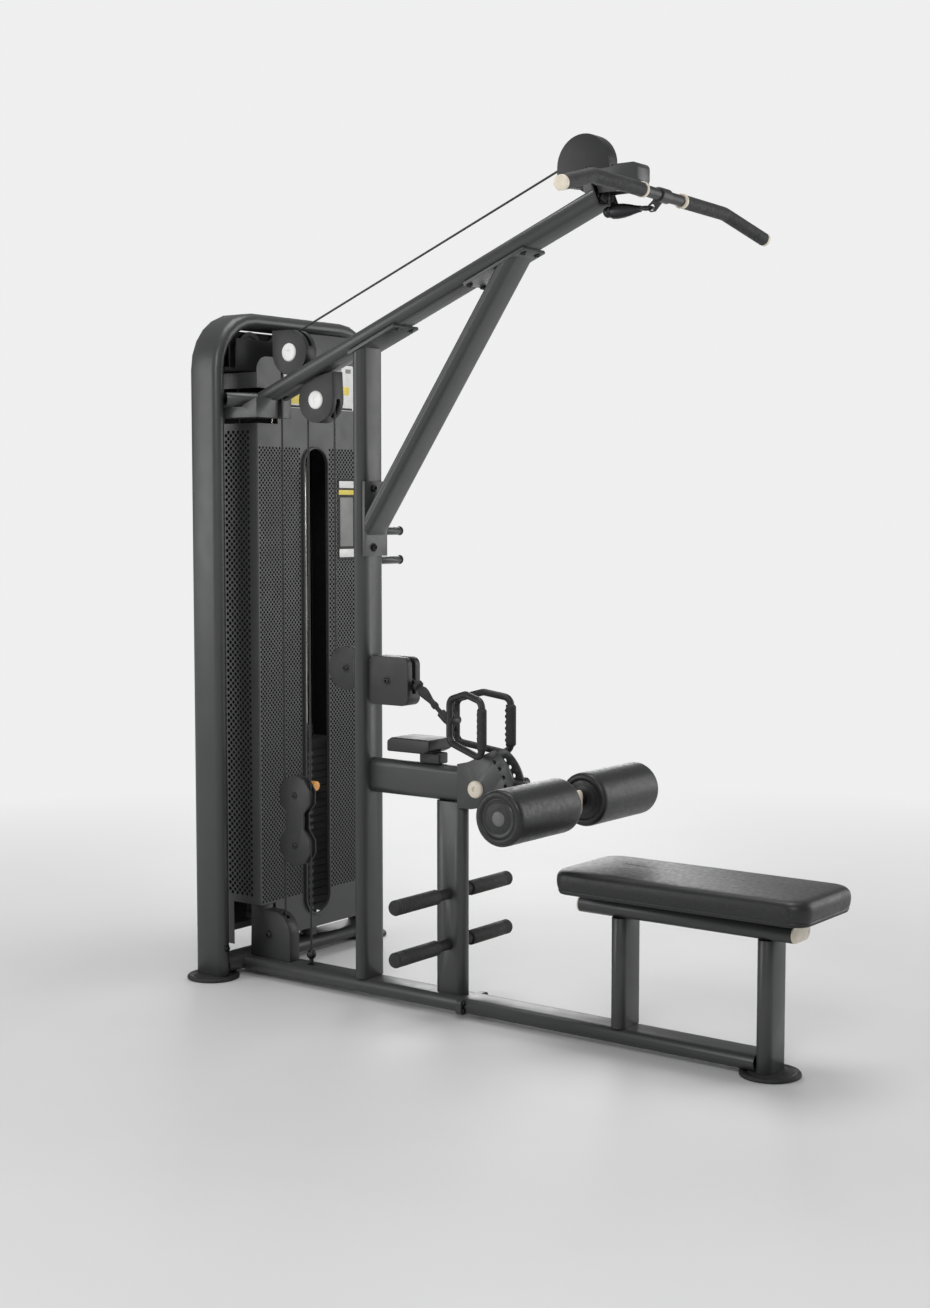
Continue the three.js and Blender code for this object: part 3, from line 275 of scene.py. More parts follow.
def rubber(name, color, roughness=0.68):
    """Moulded rubber: matte, with a fine sanded grain and a little dust in it."""
    g = Graph(name)
    g.feed(g.shader.inputs["Base Color"], g.tones(g.noise(30, 5), shade(color, 0.8), shade(color, 1.5)))
    g.feed(g.shader.inputs["Roughness"], g.between(g.noise(9, 4), roughness - 0.08, roughness + 0.1))
    g.feed(g.shader.inputs["Normal"], g.bump(g.noise(0.7, 2), 0.3, 0.12))
    return g.material


def plastic(name, color, roughness=0.35, grain_mm=0.5):
    """Moulded plastic with a spark-eroded grain and a slight change of tone."""
    g = Graph(name)
    g.feed(g.shader.inputs["Base Color"], g.tones(g.noise(35, 3), shade(color, 0.9), shade(color, 1.06)))
    g.feed(g.shader.inputs["Roughness"], g.between(g.noise(15, 3), roughness - 0.06, roughness + 0.08))
    g.feed(g.shader.inputs["Normal"], g.bump(g.noise(grain_mm, 2), 0.18, 0.06))
    return g.material


def coated_cable(name, color):
    """Wire rope in a smooth jacket that lets the lay of the strands show."""
    g = Graph(name)
    wave = g.nodes.new("ShaderNodeTexWave")
    wave.wave_type = "BANDS"
    wave.bands_direction = "DIAGONAL"
    g.feed(wave.inputs["Vector"], g.place)
    wave.inputs["Scale"].default_value = 60
    wave.inputs["Distortion"].default_value = 0.6
    g.feed(g.shader.inputs["Base Color"], g.tones(g.noise(20), shade(color, 0.8), shade(color, 1.4)))
    g.feed(g.shader.inputs["Roughness"], g.between(g.noise(8), 0.32, 0.46))
    g.feed(g.shader.inputs["Normal"], g.bump(wave.outputs["Fac"], 0.25, 0.3))
    return g.material


CHARCOAL = (0.045, 0.0457, 0.0468)
MATERIALS = {
    "frame_paint": powder_coat("frame_paint", CHARCOAL, 0.34),
    "black_paint": powder_coat("black_paint", (0.012, 0.0122, 0.0125), 0.46, 0.9),
    "shroud_paint": powder_coat("shroud_paint", (0.046, 0.0465, 0.048), 0.4),
    "weight_steel": powder_coat("weight_steel", (0.10, 0.101, 0.103), 0.42, 1.6, 0.2),
    "chrome": plated("chrome", (0.80, 0.76, 0.68)),
    "rubber": rubber("rubber", (0.016, 0.016, 0.017)),
    "vinyl": vinyl("vinyl", (0.007, 0.007, 0.0075), (0.035, 0.036, 0.038)),
    "knob_orange": plastic("knob_orange", (0.83, 0.37, 0.08), 0.32),
    "cable_jacket": coated_cable("cable_jacket", (0.012, 0.012, 0.013)),
    "nylon": plastic("nylon", (0.022, 0.022, 0.024), 0.45),
}
CREAM = plastic("cream_cap", (0.72, 0.65, 0.54), 0.3)
WHITE = plastic("placard_white", (0.80, 0.80, 0.78), 0.3)
YELLOW = plastic("placard_yellow", (0.78, 0.62, 0.07), 0.35)
GREY_INK = plastic("placard_grey", (0.22, 0.22, 0.21), 0.4)
BOARD = plastic("backing_board", (0.018, 0.018, 0.019), 0.6, 1.2)
BOLT = plated("bolt_black", (0.045, 0.045, 0.048), 0.34)
ROLLER_CAP = plastic("roller_cap", (0.13, 0.13, 0.132), 0.4)
ROLLER_DISC = plastic("roller_disc", (0.02, 0.02, 0.021), 0.38)
# Near-black matt sheet colour: painted shade, put inside the shroud and across the tower's back where they lie
# in shadow.
PAINTED_SHADE_SHEET = rubber("shade_sheets", (0.006, 0.006, 0.0065), 0.85)


# ---------------------------------------------------------------- shapes: (vertices, faces)
def turned(profile, segments=48):
    """A shape turned about Z from (radius, height) points in millimetres."""
    verts, faces, rings = [], [], []
    for r, z in profile:
        first = len(verts)
        if r < 1e-6:
            verts.append(Vector((0, 0, z)) * MM)
            rings.append([first])
            continue
        for i in range(segments):
            a = 2 * math.pi * i / segments
            verts.append(Vector((r * math.cos(a), r * math.sin(a), z)) * MM)
        rings.append(list(range(first, first + segments)))
    for low, high in zip(rings, rings[1:]):
        for i in range(segments):
            j = (i + 1) % segments
            if len(low) == 1 and len(high) > 1:
                faces.append((low[0], high[j], high[i]))
            elif len(high) == 1 and len(low) > 1:
                faces.append((low[i], low[j], high[0]))
            elif len(low) > 1:
                faces.append((low[i], low[j], high[j], high[i]))
    return verts, faces


def placed(shape, location=(0, 0, 0), axis=(0, 0, 1), spin=0.0):
    """The shape with its Z turned to the axis and its origin moved to the location."""
    turn = Vector(axis).to_track_quat("Z", "Y").to_matrix() @ Matrix.Rotation(spin, 3, "Z")
    return [turn @ v + Vector(location) for v in shape[0]], shape[1]


def merged(*shapes):
    verts, faces = [], []
    for v, f in shapes:
        first = len(verts)
        verts.extend(v)
        faces.extend(tuple(i + first for i in face) for face in f)
    return verts, faces


def band(low, high, count):
    """The faces between two rings of points, given by the rings' numbers."""
    rows = [(i, (i + 1) % count) for i in range(count)]
    return [(low * count + i, low * count + j, high * count + j, high * count + i) for i, j in rows]


def end_faces(rings, count):
    """The faces that close the first and the last ring."""
    return [tuple(reversed(range(count))), tuple(range((rings - 1) * count, rings * count))]


def tube(points, radius, sides=16):
    """A round rod through the points. radius is one number or one for each point, in metres."""
    radii = radius if isinstance(radius, list) else [radius] * len(points)
    verts, faces = [], []
    across = None
    for i, p in enumerate(points):
        tangent = (points[min(i + 1, len(points) - 1)] - points[max(i - 1, 0)]).normalized()
        if across is None:
            across = tangent.orthogonal().normalized()
        across = (across - tangent * across.dot(tangent)).normalized()
        other = tangent.cross(across)
        for k in range(sides):
            a = 2 * math.pi * k / sides
            verts.append(p + radii[i] * (across * math.cos(a) + other * math.sin(a)))
        if i:
            faces += band(i - 1, i, sides)
    faces += end_faces(len(points), sides)
    return verts, faces


def rounded_route(corners, bend, step_mm=6.0):
    """Points along straight lengths joined by round bends, a step apart in the bends and the lengths."""
    points = [corners[0]]
    for before, corner, after in zip(corners, corners[1:], corners[2:]):
        into, out = (corner - before).normalized(), (after - corner).normalized()
        angle = into.angle(out)
        setback = bend * math.tan(angle / 2)
        axis = into.cross(out).normalized()
        start = corner - into * setback
        middle = start + axis.cross(into) * bend
        steps = max(3, math.ceil(angle / math.radians(9)))
        for k in range(steps + 1):
            points.append(middle + Matrix.Rotation(angle * k / steps, 3, axis) @ (start - middle))
    points.append(corners[-1])
    fine = [points[0]]
    for a, b in zip(points, points[1:]):
        n = max(1, round((b - a).length / (step_mm * MM)))
        fine += [a.lerp(b, k / n) for k in range(1, n + 1)]
    return fine


def rounded_rect(x, y, r, steps=6):
    """The outline of a rectangle with round corners, anticlockwise, in millimetres."""
    right, left = x[1] - r, x[0] + r
    corners = [(right, y[0] + r, -90), (right, y[1] - r, 0), (left, y[1] - r, 90), (left, y[0] + r, 180)]
    outline = []
    for cx, cy, start in corners:
        for k in range(steps + 1):
            a = math.radians(start + 90 * k / steps)
            outline.append((cx + r * math.cos(a), cy + r * math.sin(a)))
    return outline


def circle(x, y, r, sides=24, start=0.0):
    turns = [start + 2 * math.pi * k / sides for k in range(sides)]
    return [(x + r * math.cos(a), y + r * math.sin(a)) for a in turns]


def offset(outline, distance):
    """The outline moved inwards by a distance, for an anticlockwise outline."""
    moved = []
    n = len(outline)
    for i in range(n):
        p = Vector(outline[i])
        a = (p - Vector(outline[i - 1])).normalized()
        b = (Vector(outline[(i + 1) % n]) - p).normalized()
        inward = Vector((-a.y - b.y, a.x + b.x))
        scale = distance / max(0.25, inward.length_squared / 2)
        moved.append(tuple(p + inward * scale))
    return moved


def slab(outline, low, high, to_space, bevel=1.0):
    """A plate with a rounded edge from an outline in a plane, between two levels square to it."""
    loops = [(bevel, low), (bevel * 0.3, low + bevel * 0.3), (0, low + bevel)]
    loops += [(0, high - bevel), (bevel * 0.3, high - bevel * 0.3), (bevel, high)]
    n = len(outline)
    verts, faces = [], []
    for inset, level in loops:
        verts += [to_space(u, v, level) for u, v in (offset(outline, inset) if inset else outline)]
    for k in range(len(loops) - 1):
        faces += band(k, k + 1, n)
    faces += end_faces(len(loops), n)
    return verts, faces


def sheet_with_holes(outlines, low, high, to_space):
    """A plate between two levels. The first outline is its edge and the others are holes."""
    points, loops = [], []
    for outline in outlines:
        loops.append(list(range(len(points), len(points) + len(outline))))
        points += [Vector(p) for p in outline]
    flat, _, cells, _, _, owners = delaunay_2d_cdt(points, [], loops, 1, 1e-4, True)
    faces = [face for face, owner in zip(cells, owners) if owner == [0]]
    n = len(flat)
    verts = [to_space(p.x, p.y, level) for level in (high, low) for p in flat]
    edges = dict.fromkeys(edge for face in faces for edge in zip(face, face[1:] + face[:1]))
    walls = [(b, a, a + n, b + n) for a, b in edges if (b, a) not in edges]
    under = [tuple(reversed([i + n for i in face])) for face in faces]
    return verts, [tuple(face) for face in faces] + under + walls


def piece(name, shape, slot, body, material=None, smooth=40, replaces=()):
    """A new object from a shape, in its material, riding on a CAD body."""
    mesh = bpy.data.meshes.new(name)
    mesh.from_pydata([tuple(v) for v in shape[0]], [], shape[1])
    bm = bmesh.new()
    bm.from_mesh(mesh)
    bmesh.ops.recalc_face_normals(bm, faces=bm.faces)
    bm.to_mesh(mesh)
    bm.free()
    for polygon in mesh.polygons:
        polygon.use_smooth = True
    mesh.set_sharp_from_angle(angle=math.radians(smooth))
    mesh.materials.append(material or MATERIALS[slot])
    obj = bpy.data.objects.new(name, mesh)
    bpy.context.scene.collection.objects.link(obj)
    if body:
        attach(obj, body)
    if replaces:
        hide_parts(*replaces)
    return obj


# ---------------------------------------------------------------- small hardware
def bolt_head(location, axis, radius, height=None):
    """A button-head bolt with a socket, on a washer."""
    h = height or radius * 0.75
    profile = [(0, h * 0.35), (radius * 0.42, h * 0.35), (radius * 0.42, h * 0.96), (radius * 0.55, h)]
    profile += [(radius * 0.82, h * 0.86), (radius, h * 0.5), (radius, 1.6), (radius * 1.35, 1.6)]
    profile += [(radius * 1.4, 1.2), (radius * 1.4, 0), (0, 0)]
    return placed(turned(profile, 24), location, axis)


def cap_disc(location, axis, radius, height=6.0):
    """A moulded cap with a rounded edge and a shallow dimple."""
    profile = [(0, height * 0.62), (radius * 0.22, height * 0.62), (radius * 0.3, height)]
    profile += [(radius * 0.82, height), (radius * 0.94, height * 0.8), (radius, height * 0.4)]
    profile += [(radius, 0), (0, 0)]
    return placed(turned(profile, 36), location, axis)


def tube_plug(location, axis, width, height, thickness=4.0, spin=0.0):
    """A flat-sided oval end plug for the frame tube."""
    r = width / 2 - 0.01
    outline = rounded_rect((-width / 2, width / 2), (-height / 2, height / 2), r, 10)
    shape = slab(outline, 0, thickness, lambda u, v, level: Vector((u, v, level)) * MM, 1.6)
    return placed(shape, location, axis, spin)


# ---------------------------------------------------------------- CAD nodes that stay
KEPT = """main_rail_front main_rail_rear tower_floor_rail tower_arch tower_head_bracket mast_post boom brace
knee_post knee_beam seat_post_front seat_post_rear seat_tube top_pulley_guard upper_pulley_guard
lower_pulley_guard row_pulley_guard row_exit_guard base_pulley_bracket travelling_block knee_arm pop_pin
handle_rest guide_rod_near guide_rod_far weight_head selector_pin lat_cable_boom row_cable_tower
stack_cable_tower""".split()
SOFT_EDGES = {"handle_rest": 5.0, "row_exit_guard": 3.0, "selector_pin": 3.0, "top_pulley_guard": 2.5}
SLOT_OF = {s["node"]: s["material_slot"] for s in frame["record"]["subparts"]}


def dress(node):
    """Gives a CAD node its material, smooth curved faces and softened edges."""
    obj = NODES[node]
    obj.data.materials.clear()
    obj.data.materials.append(MATERIALS[SLOT_OF[node]])
    for polygon in obj.data.polygons:
        polygon.use_smooth = True
    weld = obj.modifiers.new("weld", "WELD")
    weld.merge_threshold = 2e-5
    if "cable" in node:
        return
    flatten = obj.modifiers.new("flatten", "DECIMATE")
    flatten.decimate_type = "DISSOLVE"
    flatten.angle_limit = math.radians(0.6)
    bevel = obj.modifiers.new("bevel", "BEVEL")
    bevel.width = SOFT_EDGES.get(node, 1.2) * MM
    bevel.segments = 3 if node in SOFT_EDGES else 2
    bevel.limit_method = "ANGLE"
    bevel.angle_limit = math.radians(34)
    bevel.harden_normals = True


# ---------------------------------------------------------------- feet, caps and bolts
def add_feet():
    """Round rubber feet with a moulded groove in the top."""
    profile = [(0, 0), (70, 0), (73, 1.2), (74, 3.5), (73.4, 7.5), (71, 10), (67, 11.2), (62, 10.6)]
    profile += [(59, 8.6), (55, 8.4), (52, 10.8), (49, 12), (0, 12)]
    for node in ("foot_front", "foot_near", "foot_far"):
        low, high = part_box(node)
        spot = ((low.x + high.x) / 2, (low.y + high.y) / 2, 0)
        piece(node + "_pad", placed(turned(profile, 64), spot), "black_paint", "frame", MATERIALS["rubber"],
              replaces=[node])


def add_bolts():
    """Bolts of the floor rail's joint, the mast, the boom's plates, the seat's plates and the tower's legs."""
    heads = []
    for x in (-50, 50):
        for z in (24, 42):
            heads.append(bolt_head(at(x, RAIL_JOINT_Y + 8, z), (0, 1, 0), 6.5))
            heads.append(bolt_head(at(x, RAIL_JOINT_Y - 8.3, z), (0, -1, 0), 6.5))
    for z in (1228, 1386):
        heads.append(bolt_head(at(-10, MAST_FRONT, z), (0, -1, 0), 9, 8))
    down = Vector((0, -math.sin(BOOM_SLOPE), -math.cos(BOOM_SLOPE)))
    plate_face = 28.8  # below the boom's centre line
    for y in (705, 872, 1110, 1248):
        surface = on_boom(y) + down * plate_face * MM
        for x in (-30, 30):
            heads.append(bolt_head(surface + Vector((x * MM, 0, 0)), down, 7))
    seat_plate_z, leg_front = 385.2, 1649.8
    for y in (40, 400):
        for x in (-70, 70):
            heads.append(bolt_head(at(x, y, seat_plate_z), (0, 0, -1), 6))
    for x in (-117, 547):
        heads.append(bolt_head(at(x, leg_front, 90), (0, -1, 0), 7))
    piece("bolts_frame", merged(*heads), "black_paint", "frame", BOLT, smooth=35)

    # Axle ends on both cheeks of each guard, and of the travelling block.
    for node, pulley in (("row_exit_guard", "exit_pulley"), ("row_pulley_guard", "row_pulley"),
                         ("base_pulley_bracket", "base_pulley"), ("top_pulley_guard", "top_pulley")):
        low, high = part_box(node)
        spot = centre(pulley)
        half = 16 * MM if node == "row_pulley_guard" else (high.x - low.x) / 2
        middle = (low.x + high.x) / 2
        ends = [bolt_head(Vector((middle + s * half, spot.y, spot.z)), (s, 0, 0), 8.5, 6) for s in (-1, 1)]
        piece(node + "_axle", merged(*ends), "black_paint", "frame", BOLT, smooth=35)
    low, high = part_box("travelling_block")
    ends = []
    for pulley in ("block_pulley_upper", "block_pulley_lower"):
        spot = centre(pulley)
        for x, s in ((low.x, -1), (high.x, 1)):
            ends.append(bolt_head(Vector((x, spot.y, spot.z)), (s, 0, 0), 7, 4))
    piece("block_axles", merged(*ends), "black_paint", "travelling_block", BOLT, smooth=35)


def add_caps():
    caps = []
    for node, pulley in (("upper_pulley_guard", "upper_pulley"), ("lower_pulley_guard", "lower_pulley")):
        low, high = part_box(node)
        spot = centre(pulley)
        for x, s in ((low.x, -1), (high.x, 1)):
            caps.append(cap_disc(Vector((x, spot.y, spot.z)), (s, 0, 0), 25, 5))
    piece("guard_caps", merged(*caps), "black_paint", "frame", WHITE)

    # The knee arm's pivot caps, and the plugs in both ends of the seat tube.
    caps = []
    low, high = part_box("knee_beam")
    for x, s in ((low.x, -1), (high.x, 1)):
        caps.append(cap_disc(Vector((x - s * 4.5 * MM, 0.003, PIVOT_Z * MM)), (s, 0, 0), 23, 9))
    low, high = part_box("seat_tube")
    for y, s in ((low.y, -1), (high.y, 1)):
        end = Vector((ORIGIN.x, y - s * 0.0001, SEAT_TUBE_Z * MM))
        caps.append(tube_plug(end, (0, s, 0), TUBE_T, TUBE_W, 4, math.pi / 2))
    piece("caps_frame", merged(*caps), "frame_paint", "frame", CREAM)

    uphill = Vector((0, -math.cos(BOOM_SLOPE), math.sin(BOOM_SLOPE)))
    plug = tube_plug(on_boom(476), uphill, TUBE_W, TUBE_T, 4)
    piece("boom_tip_plug", plug, "black_paint", "frame", MATERIALS["rubber"])
    dip = math.atan2(11, 278)  # the roller axle is 11 below the arm's pivot and 278 in front of it
    along = Vector((0, -math.cos(dip), -math.sin(dip)))
    arm_end = at(0, PIVOT_Y, PIVOT_Z) + along * 297 * MM
    piece("arm_end_plug", tube_plug(arm_end, along, 37, 69, 4, 0), "black_paint", "knee_arm", CREAM)
    pegs = [cap_disc(at(136, 1225, z), (1, 0, 0), 12.5, 4) for z in (1192, 1271)]
    piece("storage_peg_caps", merged(*pegs), "black_paint", "frame", MATERIALS["rubber"])


# ---------------------------------------------------------------- shroud
SHROUD_X, SHROUD_Y = (-31, 460), (1598, 1830)
SLOT_X, SLOT_Z = (160, 259), (145, 1504)
FRONT_TOP, SIDE_TOP = 1756, 1711


def slot_outline(grow, steps=14):
    """The selector slot's outline, round at both ends, grown outwards by an amount."""
    middle, half = sum(SLOT_X) / 2, (SLOT_X[1] - SLOT_X[0]) / 2
    outline = []
    for z, start in ((SLOT_Z[1] - half, 0), (SLOT_Z[0] + half, 180)):
        for k in range(steps + 1):
            a = math.radians(start + 180 * k / steps)
            outline.append((middle + (half + grow) * math.cos(a), z + (half + grow) * math.sin(a)))
    return outline


def hole_field(u, v, pitch=14.0, radius=4.1, sides=6):
    """Staggered rows of small holes inside a rectangle."""
    holes = []
    columns = round((u[1] - u[0]) / (pitch / 2))
    step = (u[1] - u[0]) / columns
    for i in range(columns + 1):
        shift = pitch / 2 if i % 2 else 0
        count = int((v[1] - v[0] - shift) / pitch)
        for k in range(count + 1):
            holes.append(circle(u[0] + i * step, v[0] + shift + k * pitch, radius, sides, math.pi / 6))
    return holes


def add_shroud():
    (x0, x1), (y0, y1) = SHROUD_X, SHROUD_Y
    corner = 40
    quarter = [math.radians(9 * k) for k in range(11)]
    front = [(30, 103), (x1, 103)]
    front += [(x1 - corner * (1 - math.cos(a)), FRONT_TOP - corner * (1 - math.sin(a))) for a in quarter]
    front += [(x0 + corner * (1 - math.sin(a)), FRONT_TOP - corner * (1 - math.cos(a))) for a in quarter]
    front += [(x0, 1668), (54, 1668), (54, 1570), (x0, 1570), (x0, 205), (30, 205)]
    fields = hole_field((-22, 144), (214, 1505)) + hole_field((277, 444), (214, 1505))
    sheets = [sheet_with_holes([front, slot_outline(0)] + fields, y0 + 2, y0, in_xz)]
    fold = y0 + 2.2
    near = [(1705, 80), (y1, 80), (y1, SIDE_TOP), (fold, SIDE_TOP), (fold, 1668), (1725, 1668), (1725, 1570)]
    near += [(fold, 1570), (fold, 205), (1705, 205)]
    far = [(fold, 80), (y1, 80), (y1, SIDE_TOP), (fold, SIDE_TOP)]
    near_field = hole_field((1736, 1798), (120, 1620), 18, 5.6)
    near_field += hole_field((1634, 1718), (232, 1550), 18, 5.6)
    sheets.append(sheet_with_holes([near] + near_field, x0 + 2, x0, in_yz))
    far_field = hole_field((1616, 1816), (106, 1640))
    sheets.append(sheet_with_holes([far] + far_field, x1, x1 - 2, in_yz))
    back = rounded_rect((x0 + 2.2, x1 - 2.2), (80, SIDE_TOP), 2, 1)
    sheets.append(sheet_with_holes([back], y1, y1 - 2, in_xz))
    piece("shroud_sheets", merged(*sheets), "shroud_paint", "frame", smooth=30, replaces=["shroud"])
    add_painted_shade_sheets()

    # Raised lip round the slot, folded edges, and stiffening beads on the back.
    lip = [sheet_with_holes([slot_outline(5.5), slot_outline(-0.6)], y0 - 6, y0 + 0.4, in_xz)]
    edge = slot_outline(2.5, 24)
    lip.append(tube([in_xz(u, v, y0 - 5.6) for u, v in edge + edge[:1]], 3.2 * MM, 10))
    folds = [tube([at(x0 + 1, y0 + 1.6, 212), at(x0 + 1, y0 + 1.6, 1564)], 2.4 * MM, 12)]
    folds.append(tube([at(x1 - 1, y0 + 1.6, 106), at(x1 - 1, y0 + 1.6, 1712)], 2.4 * MM, 12))
    for x in (110, 320):
        bead = rounded_rect((x - 9, x + 9), (140, 1650), 8.9, 8)
        folds.append(slab(bead, y1 - 0.4, y1 + 2.6, in_xz, 2.4))
    piece("shroud_folds", merged(*lip, *folds), "shroud_paint", "frame", smooth=50)


def add_painted_shade_sheets():
    """Near-black sheets behind the perforated fields, and the covers under the tower's top bend: painted shade
    for the dark inside of the shroud and the shaded back of the tower.
    """
    (x0, x1), (y0, y1) = SHROUD_X, SHROUD_Y
    gap, thick = 6, 1.5
    far_x = x1 - gap - thick
    shade_sheets = []
    for u in ((x0 + 8, 150), (268, x1 - 8)):
        shade_sheets.append(slab(rounded_rect(u, (208, 1560), 4, 2), y0 + gap, y0 + gap + thick, in_xz, 0.4))
    for x, u, v in ((x0 + gap, (y0 + 12, 1728), (212, 1560)), (x0 + gap, (1729, y1 - 8), (100, 1700)),
                    (far_x, (y0 + 12, y1 - 8), (100, 1700))):
        shade_sheets.append(slab(rounded_rect(u, v, 4, 2), x, x + thick, in_yz, 0.4))
    shade_sheets.append(slab(rounded_rect((x0 + 8, x1 - 8), (100, 1700), 4, 2), y1 - 5, y1 - 3.5, in_xz, 0.4))
    piece("shroud_painted_shade", merged(*shade_sheets), "rubber", "frame", PAINTED_SHADE_SHEET, smooth=30)

    # Sheet across the tower's back under the top bend, near-black as painted shade, and the board that stands
    # over the front panel.
    back_cover = slab(rounded_rect((-84, 514), (1600, 1840), 110, 12), 1772, 1773.5, in_xz, 0.4)
    piece("tower_back_cover", back_cover, "rubber", "frame", PAINTED_SHADE_SHEET, smooth=30)
    head_board = slab(rounded_rect((84, 456), (1735, 1832), 10), y0 + 4, y0 + 6, in_xz, 0.5)
    piece("tower_head_board", head_board, "shroud_paint", "frame", smooth=30)


def add_placards():
    """Blank instruction board above the slot and a narrow blank decal beside it."""
    on_front = lambda u, v, level: at(u, SHROUD_Y[0] - level, v)

    def label(u, v, corner, low, high, bevel=0.1):
        return slab(rounded_rect(u, v, corner), low, high, on_front, bevel)

    board = label((79, 383), (1618, 1750), 6, 0.1, 1.5, 0.4)
    strip = label((312, 389), (1180, 1418), 3, 0.1, 0.9, 0.2)
    blank = [label((318, 383), v, 2, 0.8, 1.3) for v in ((1392, 1412), (1188, 1212))]
    yellow = [label((316, 385), (1372, 1386), 2, 0.8, 1.3)]
    yellow += [label(u, v, 4, 1.4, 1.8) for u, v in (((330, 364), (1664, 1688)), ((90, 170), (1630, 1656)))]
    grey = [label((322, 380), (1220, 1364), 3, 0.8, 1.2)]
    grey += [label((x, x + 24), (1728, 1740), 2, 1.4, 1.7) for x in range(96, 350, 42)]
    border = label((84, 378), (1619.5, 1626), 2, 1.4, 1.7)
    for name, shape, material in (("placard_border", border, BOARD), ("placard_board", board, WHITE),
                                  ("decal_strip", strip, BOARD), ("placard_blanks", merged(*blank), WHITE),
                                  ("placard_bands", merged(*yellow), YELLOW),
                                  ("placard_panels", merged(*grey), GREY_INK)):
        piece(name, shape, "shroud_paint", "frame", material)


# ---------------------------------------------------------------- weight plates
def add_plates():
    """Single plates with bores for the rods and the stem, and a ring and a blank tab on each front."""
    outline = rounded_rect((STACK_X - 149.5, STACK_X + 149.5), (STACK_Y - 49.5, STACK_Y + 49.5), 7, 5)
    bores = [circle(STACK_X + dx, STACK_Y, 11.6, 20) for dx in (-71.5, 71.5)]
    bores.append(circle(STACK_X, STACK_Y, 13.6, 20))
    ring = [(5.6, 0.2), (8.2, 0.2), (8.8, -0.4), (8.8, -2), (5.6, -2), (5.6, 0.2)]
    front = STACK_Y - 49.5
    on_plate = lambda u, v, level: at(u, front + 0.1 - level, v)
    for part, first, count, body in (("resting", 0, 17, "frame"), ("lifted", 17, 5, "weight_carriage")):
        plates, marks = [], []
        for i in range(first, first + count):
            z = PLATE_Z0 + i * PLATE_PITCH
            plates.append(sheet_with_holes([offset(outline, 1.4)] + bores, z + 0.1, z + 21.2, at))
            plates.append(sheet_with_holes([outline, offset(outline, 4)], z + 1.6, z + 19.6, at))
            marks.append(placed(turned(ring, 24), at(STACK_X, front - 0.1, z + 10.7), (0, -1, 0)))
            tab = rounded_rect((STACK_X + 22, STACK_X + 42), (z + 6, z + 15), 2)
            marks.append(slab(tab, 0, 0.5, on_plate, 0.1))
        piece("plates_" + part, merged(*plates), "weight_steel", body, smooth=25,
              replaces=["weight_plates_" + part])
        piece("plates_" + part + "_marks", merged(*marks), "weight_steel", body, GREY_INK)


# ---------------------------------------------------------------- pulleys
def pulley_profile():
    """A grooved wheel's section in millimetres, the same on both sides of its middle."""
    half = [(9, 5.5), (19, 5.5), (20.5, 3.2), (37, 3.2), (39, 6.4), (50.6, 7.0), (52, 6.2), (45.6, 3.2)]
    mirror = [(r, -z) for r, z in reversed(half)]
    return half + [(44.2, 0)] + mirror + [(8.6, -5.5), (8.6, 5.5), (9, 5.5)]


def add_pulleys():
    stud = turned([(0, 7), (2.4, 7), (3, 6.4), (3, 3), (0, 3)], 10)
    turns = [2 * math.pi * k / 6 for k in range(6)]
    studs = [placed(stud, (29 * MM * math.cos(a), 29 * MM * math.sin(a), 0)) for a in turns]
    wheel = merged(turned(pulley_profile(), 64), *studs)
    for node, body in BODY_OF.items():
        if "pulley" not in node or "guard" in node or "bracket" in node:
            continue
        axis = (0, 1, 0) if node.startswith("head") else (1, 0, 0)
        piece(node + "_wheel", placed(wheel, centre(node), axis), "nylon", body, smooth=32, replaces=[node])


# ---------------------------------------------------------------- moving cables
CABLE_R = 3 * MM


def straight(a, b, step=0.015):
    """Points along a line, at most a step apart in metres."""
    n = max(1, math.ceil((b - a).length / step))
    return [a.lerp(b, k / n) for k in range(n + 1)]


def block_turn(z, side):
    """Half a turn round a pulley of the travelling block, under it (-1) or over it (1)."""
    turns = [math.pi * k / 18 for k in range(19)]
    return [at(0, BLOCK_Y - side * PULLEY_R * math.cos(a), z + side * PULLEY_R * math.sin(a)) for a in turns]


def row_line(distance):
    """A point on the row cable's line, in millimetres from where it leaves the exit pulley."""
    a = math.radians(131)
    y, z = EXIT_Y + PULLEY_R * math.cos(a), EXIT_Z + PULLEY_R * math.sin(a)
    return at(0, y - distance * math.sin(a), z + distance * math.cos(a))


def cable(name, points, node):
    """A cable piece that runs from the frame at its start to a moving body's place at its end, with its
    transform baked into the mesh.
    """
    shape = tube(points, CABLE_R, 12)
    obj = piece(name, shape, "cable_jacket", None, smooth=60, replaces=[node])
    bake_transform(obj)


def add_cables():
    rear = lambda z: at(0, RUN_REAR, z)
    front = lambda z: at(0, RUN_FRONT, z)
    drop = lambda z: at(0, HOOK_Y, z)
    stack = lambda z: at(STACK_X, STACK_Y, z)
    upper, lower = 529, 387
    cable("lat_drop", straight(drop(2110), drop(2062), 0.002), "lat_cable_drop")
    loop = straight(rear(1699.7), rear(upper))[:-1] + block_turn(upper, -1)
    loop += straight(front(upper), front(1626.7))[1:]
    cable("lat_loop", loop, "lat_cable_loop")
    loop = straight(front(92), front(lower))[:-1] + block_turn(lower, 1)
    loop += straight(rear(lower), rear(123))[1:]
    cable("stack_loop", loop, "stack_cable_loop")
    cable("stack_drop", straight(stack(698.9), stack(1779)), "stack_cable_drop")
    low, high = row_line(40.3), row_line(63.7)
    cable("row_out", straight(low, high, 0.001), "row_cable_out")
    anchor = [(0, -28.4), (11, -28.4), (11, -26), (6, -24), (6, -12), (9, -10.5), (13, -5), (14, 0), (13, 5),
              (9, 10.5), (5, 14), (4, 22), (0, 22)]
    piece("cable_anchor", placed(turned(anchor, 28), front(82)), "cable_jacket", "frame", BOLT)


# ---------------------------------------------------------------- lat bar
def ring_points(middle, radius, u, v, steps=28):
    turns = [2 * math.pi * k / steps for k in range(steps + 1)]
    return [middle + radius * (u * math.cos(a) + v * math.sin(a)) for a in turns]


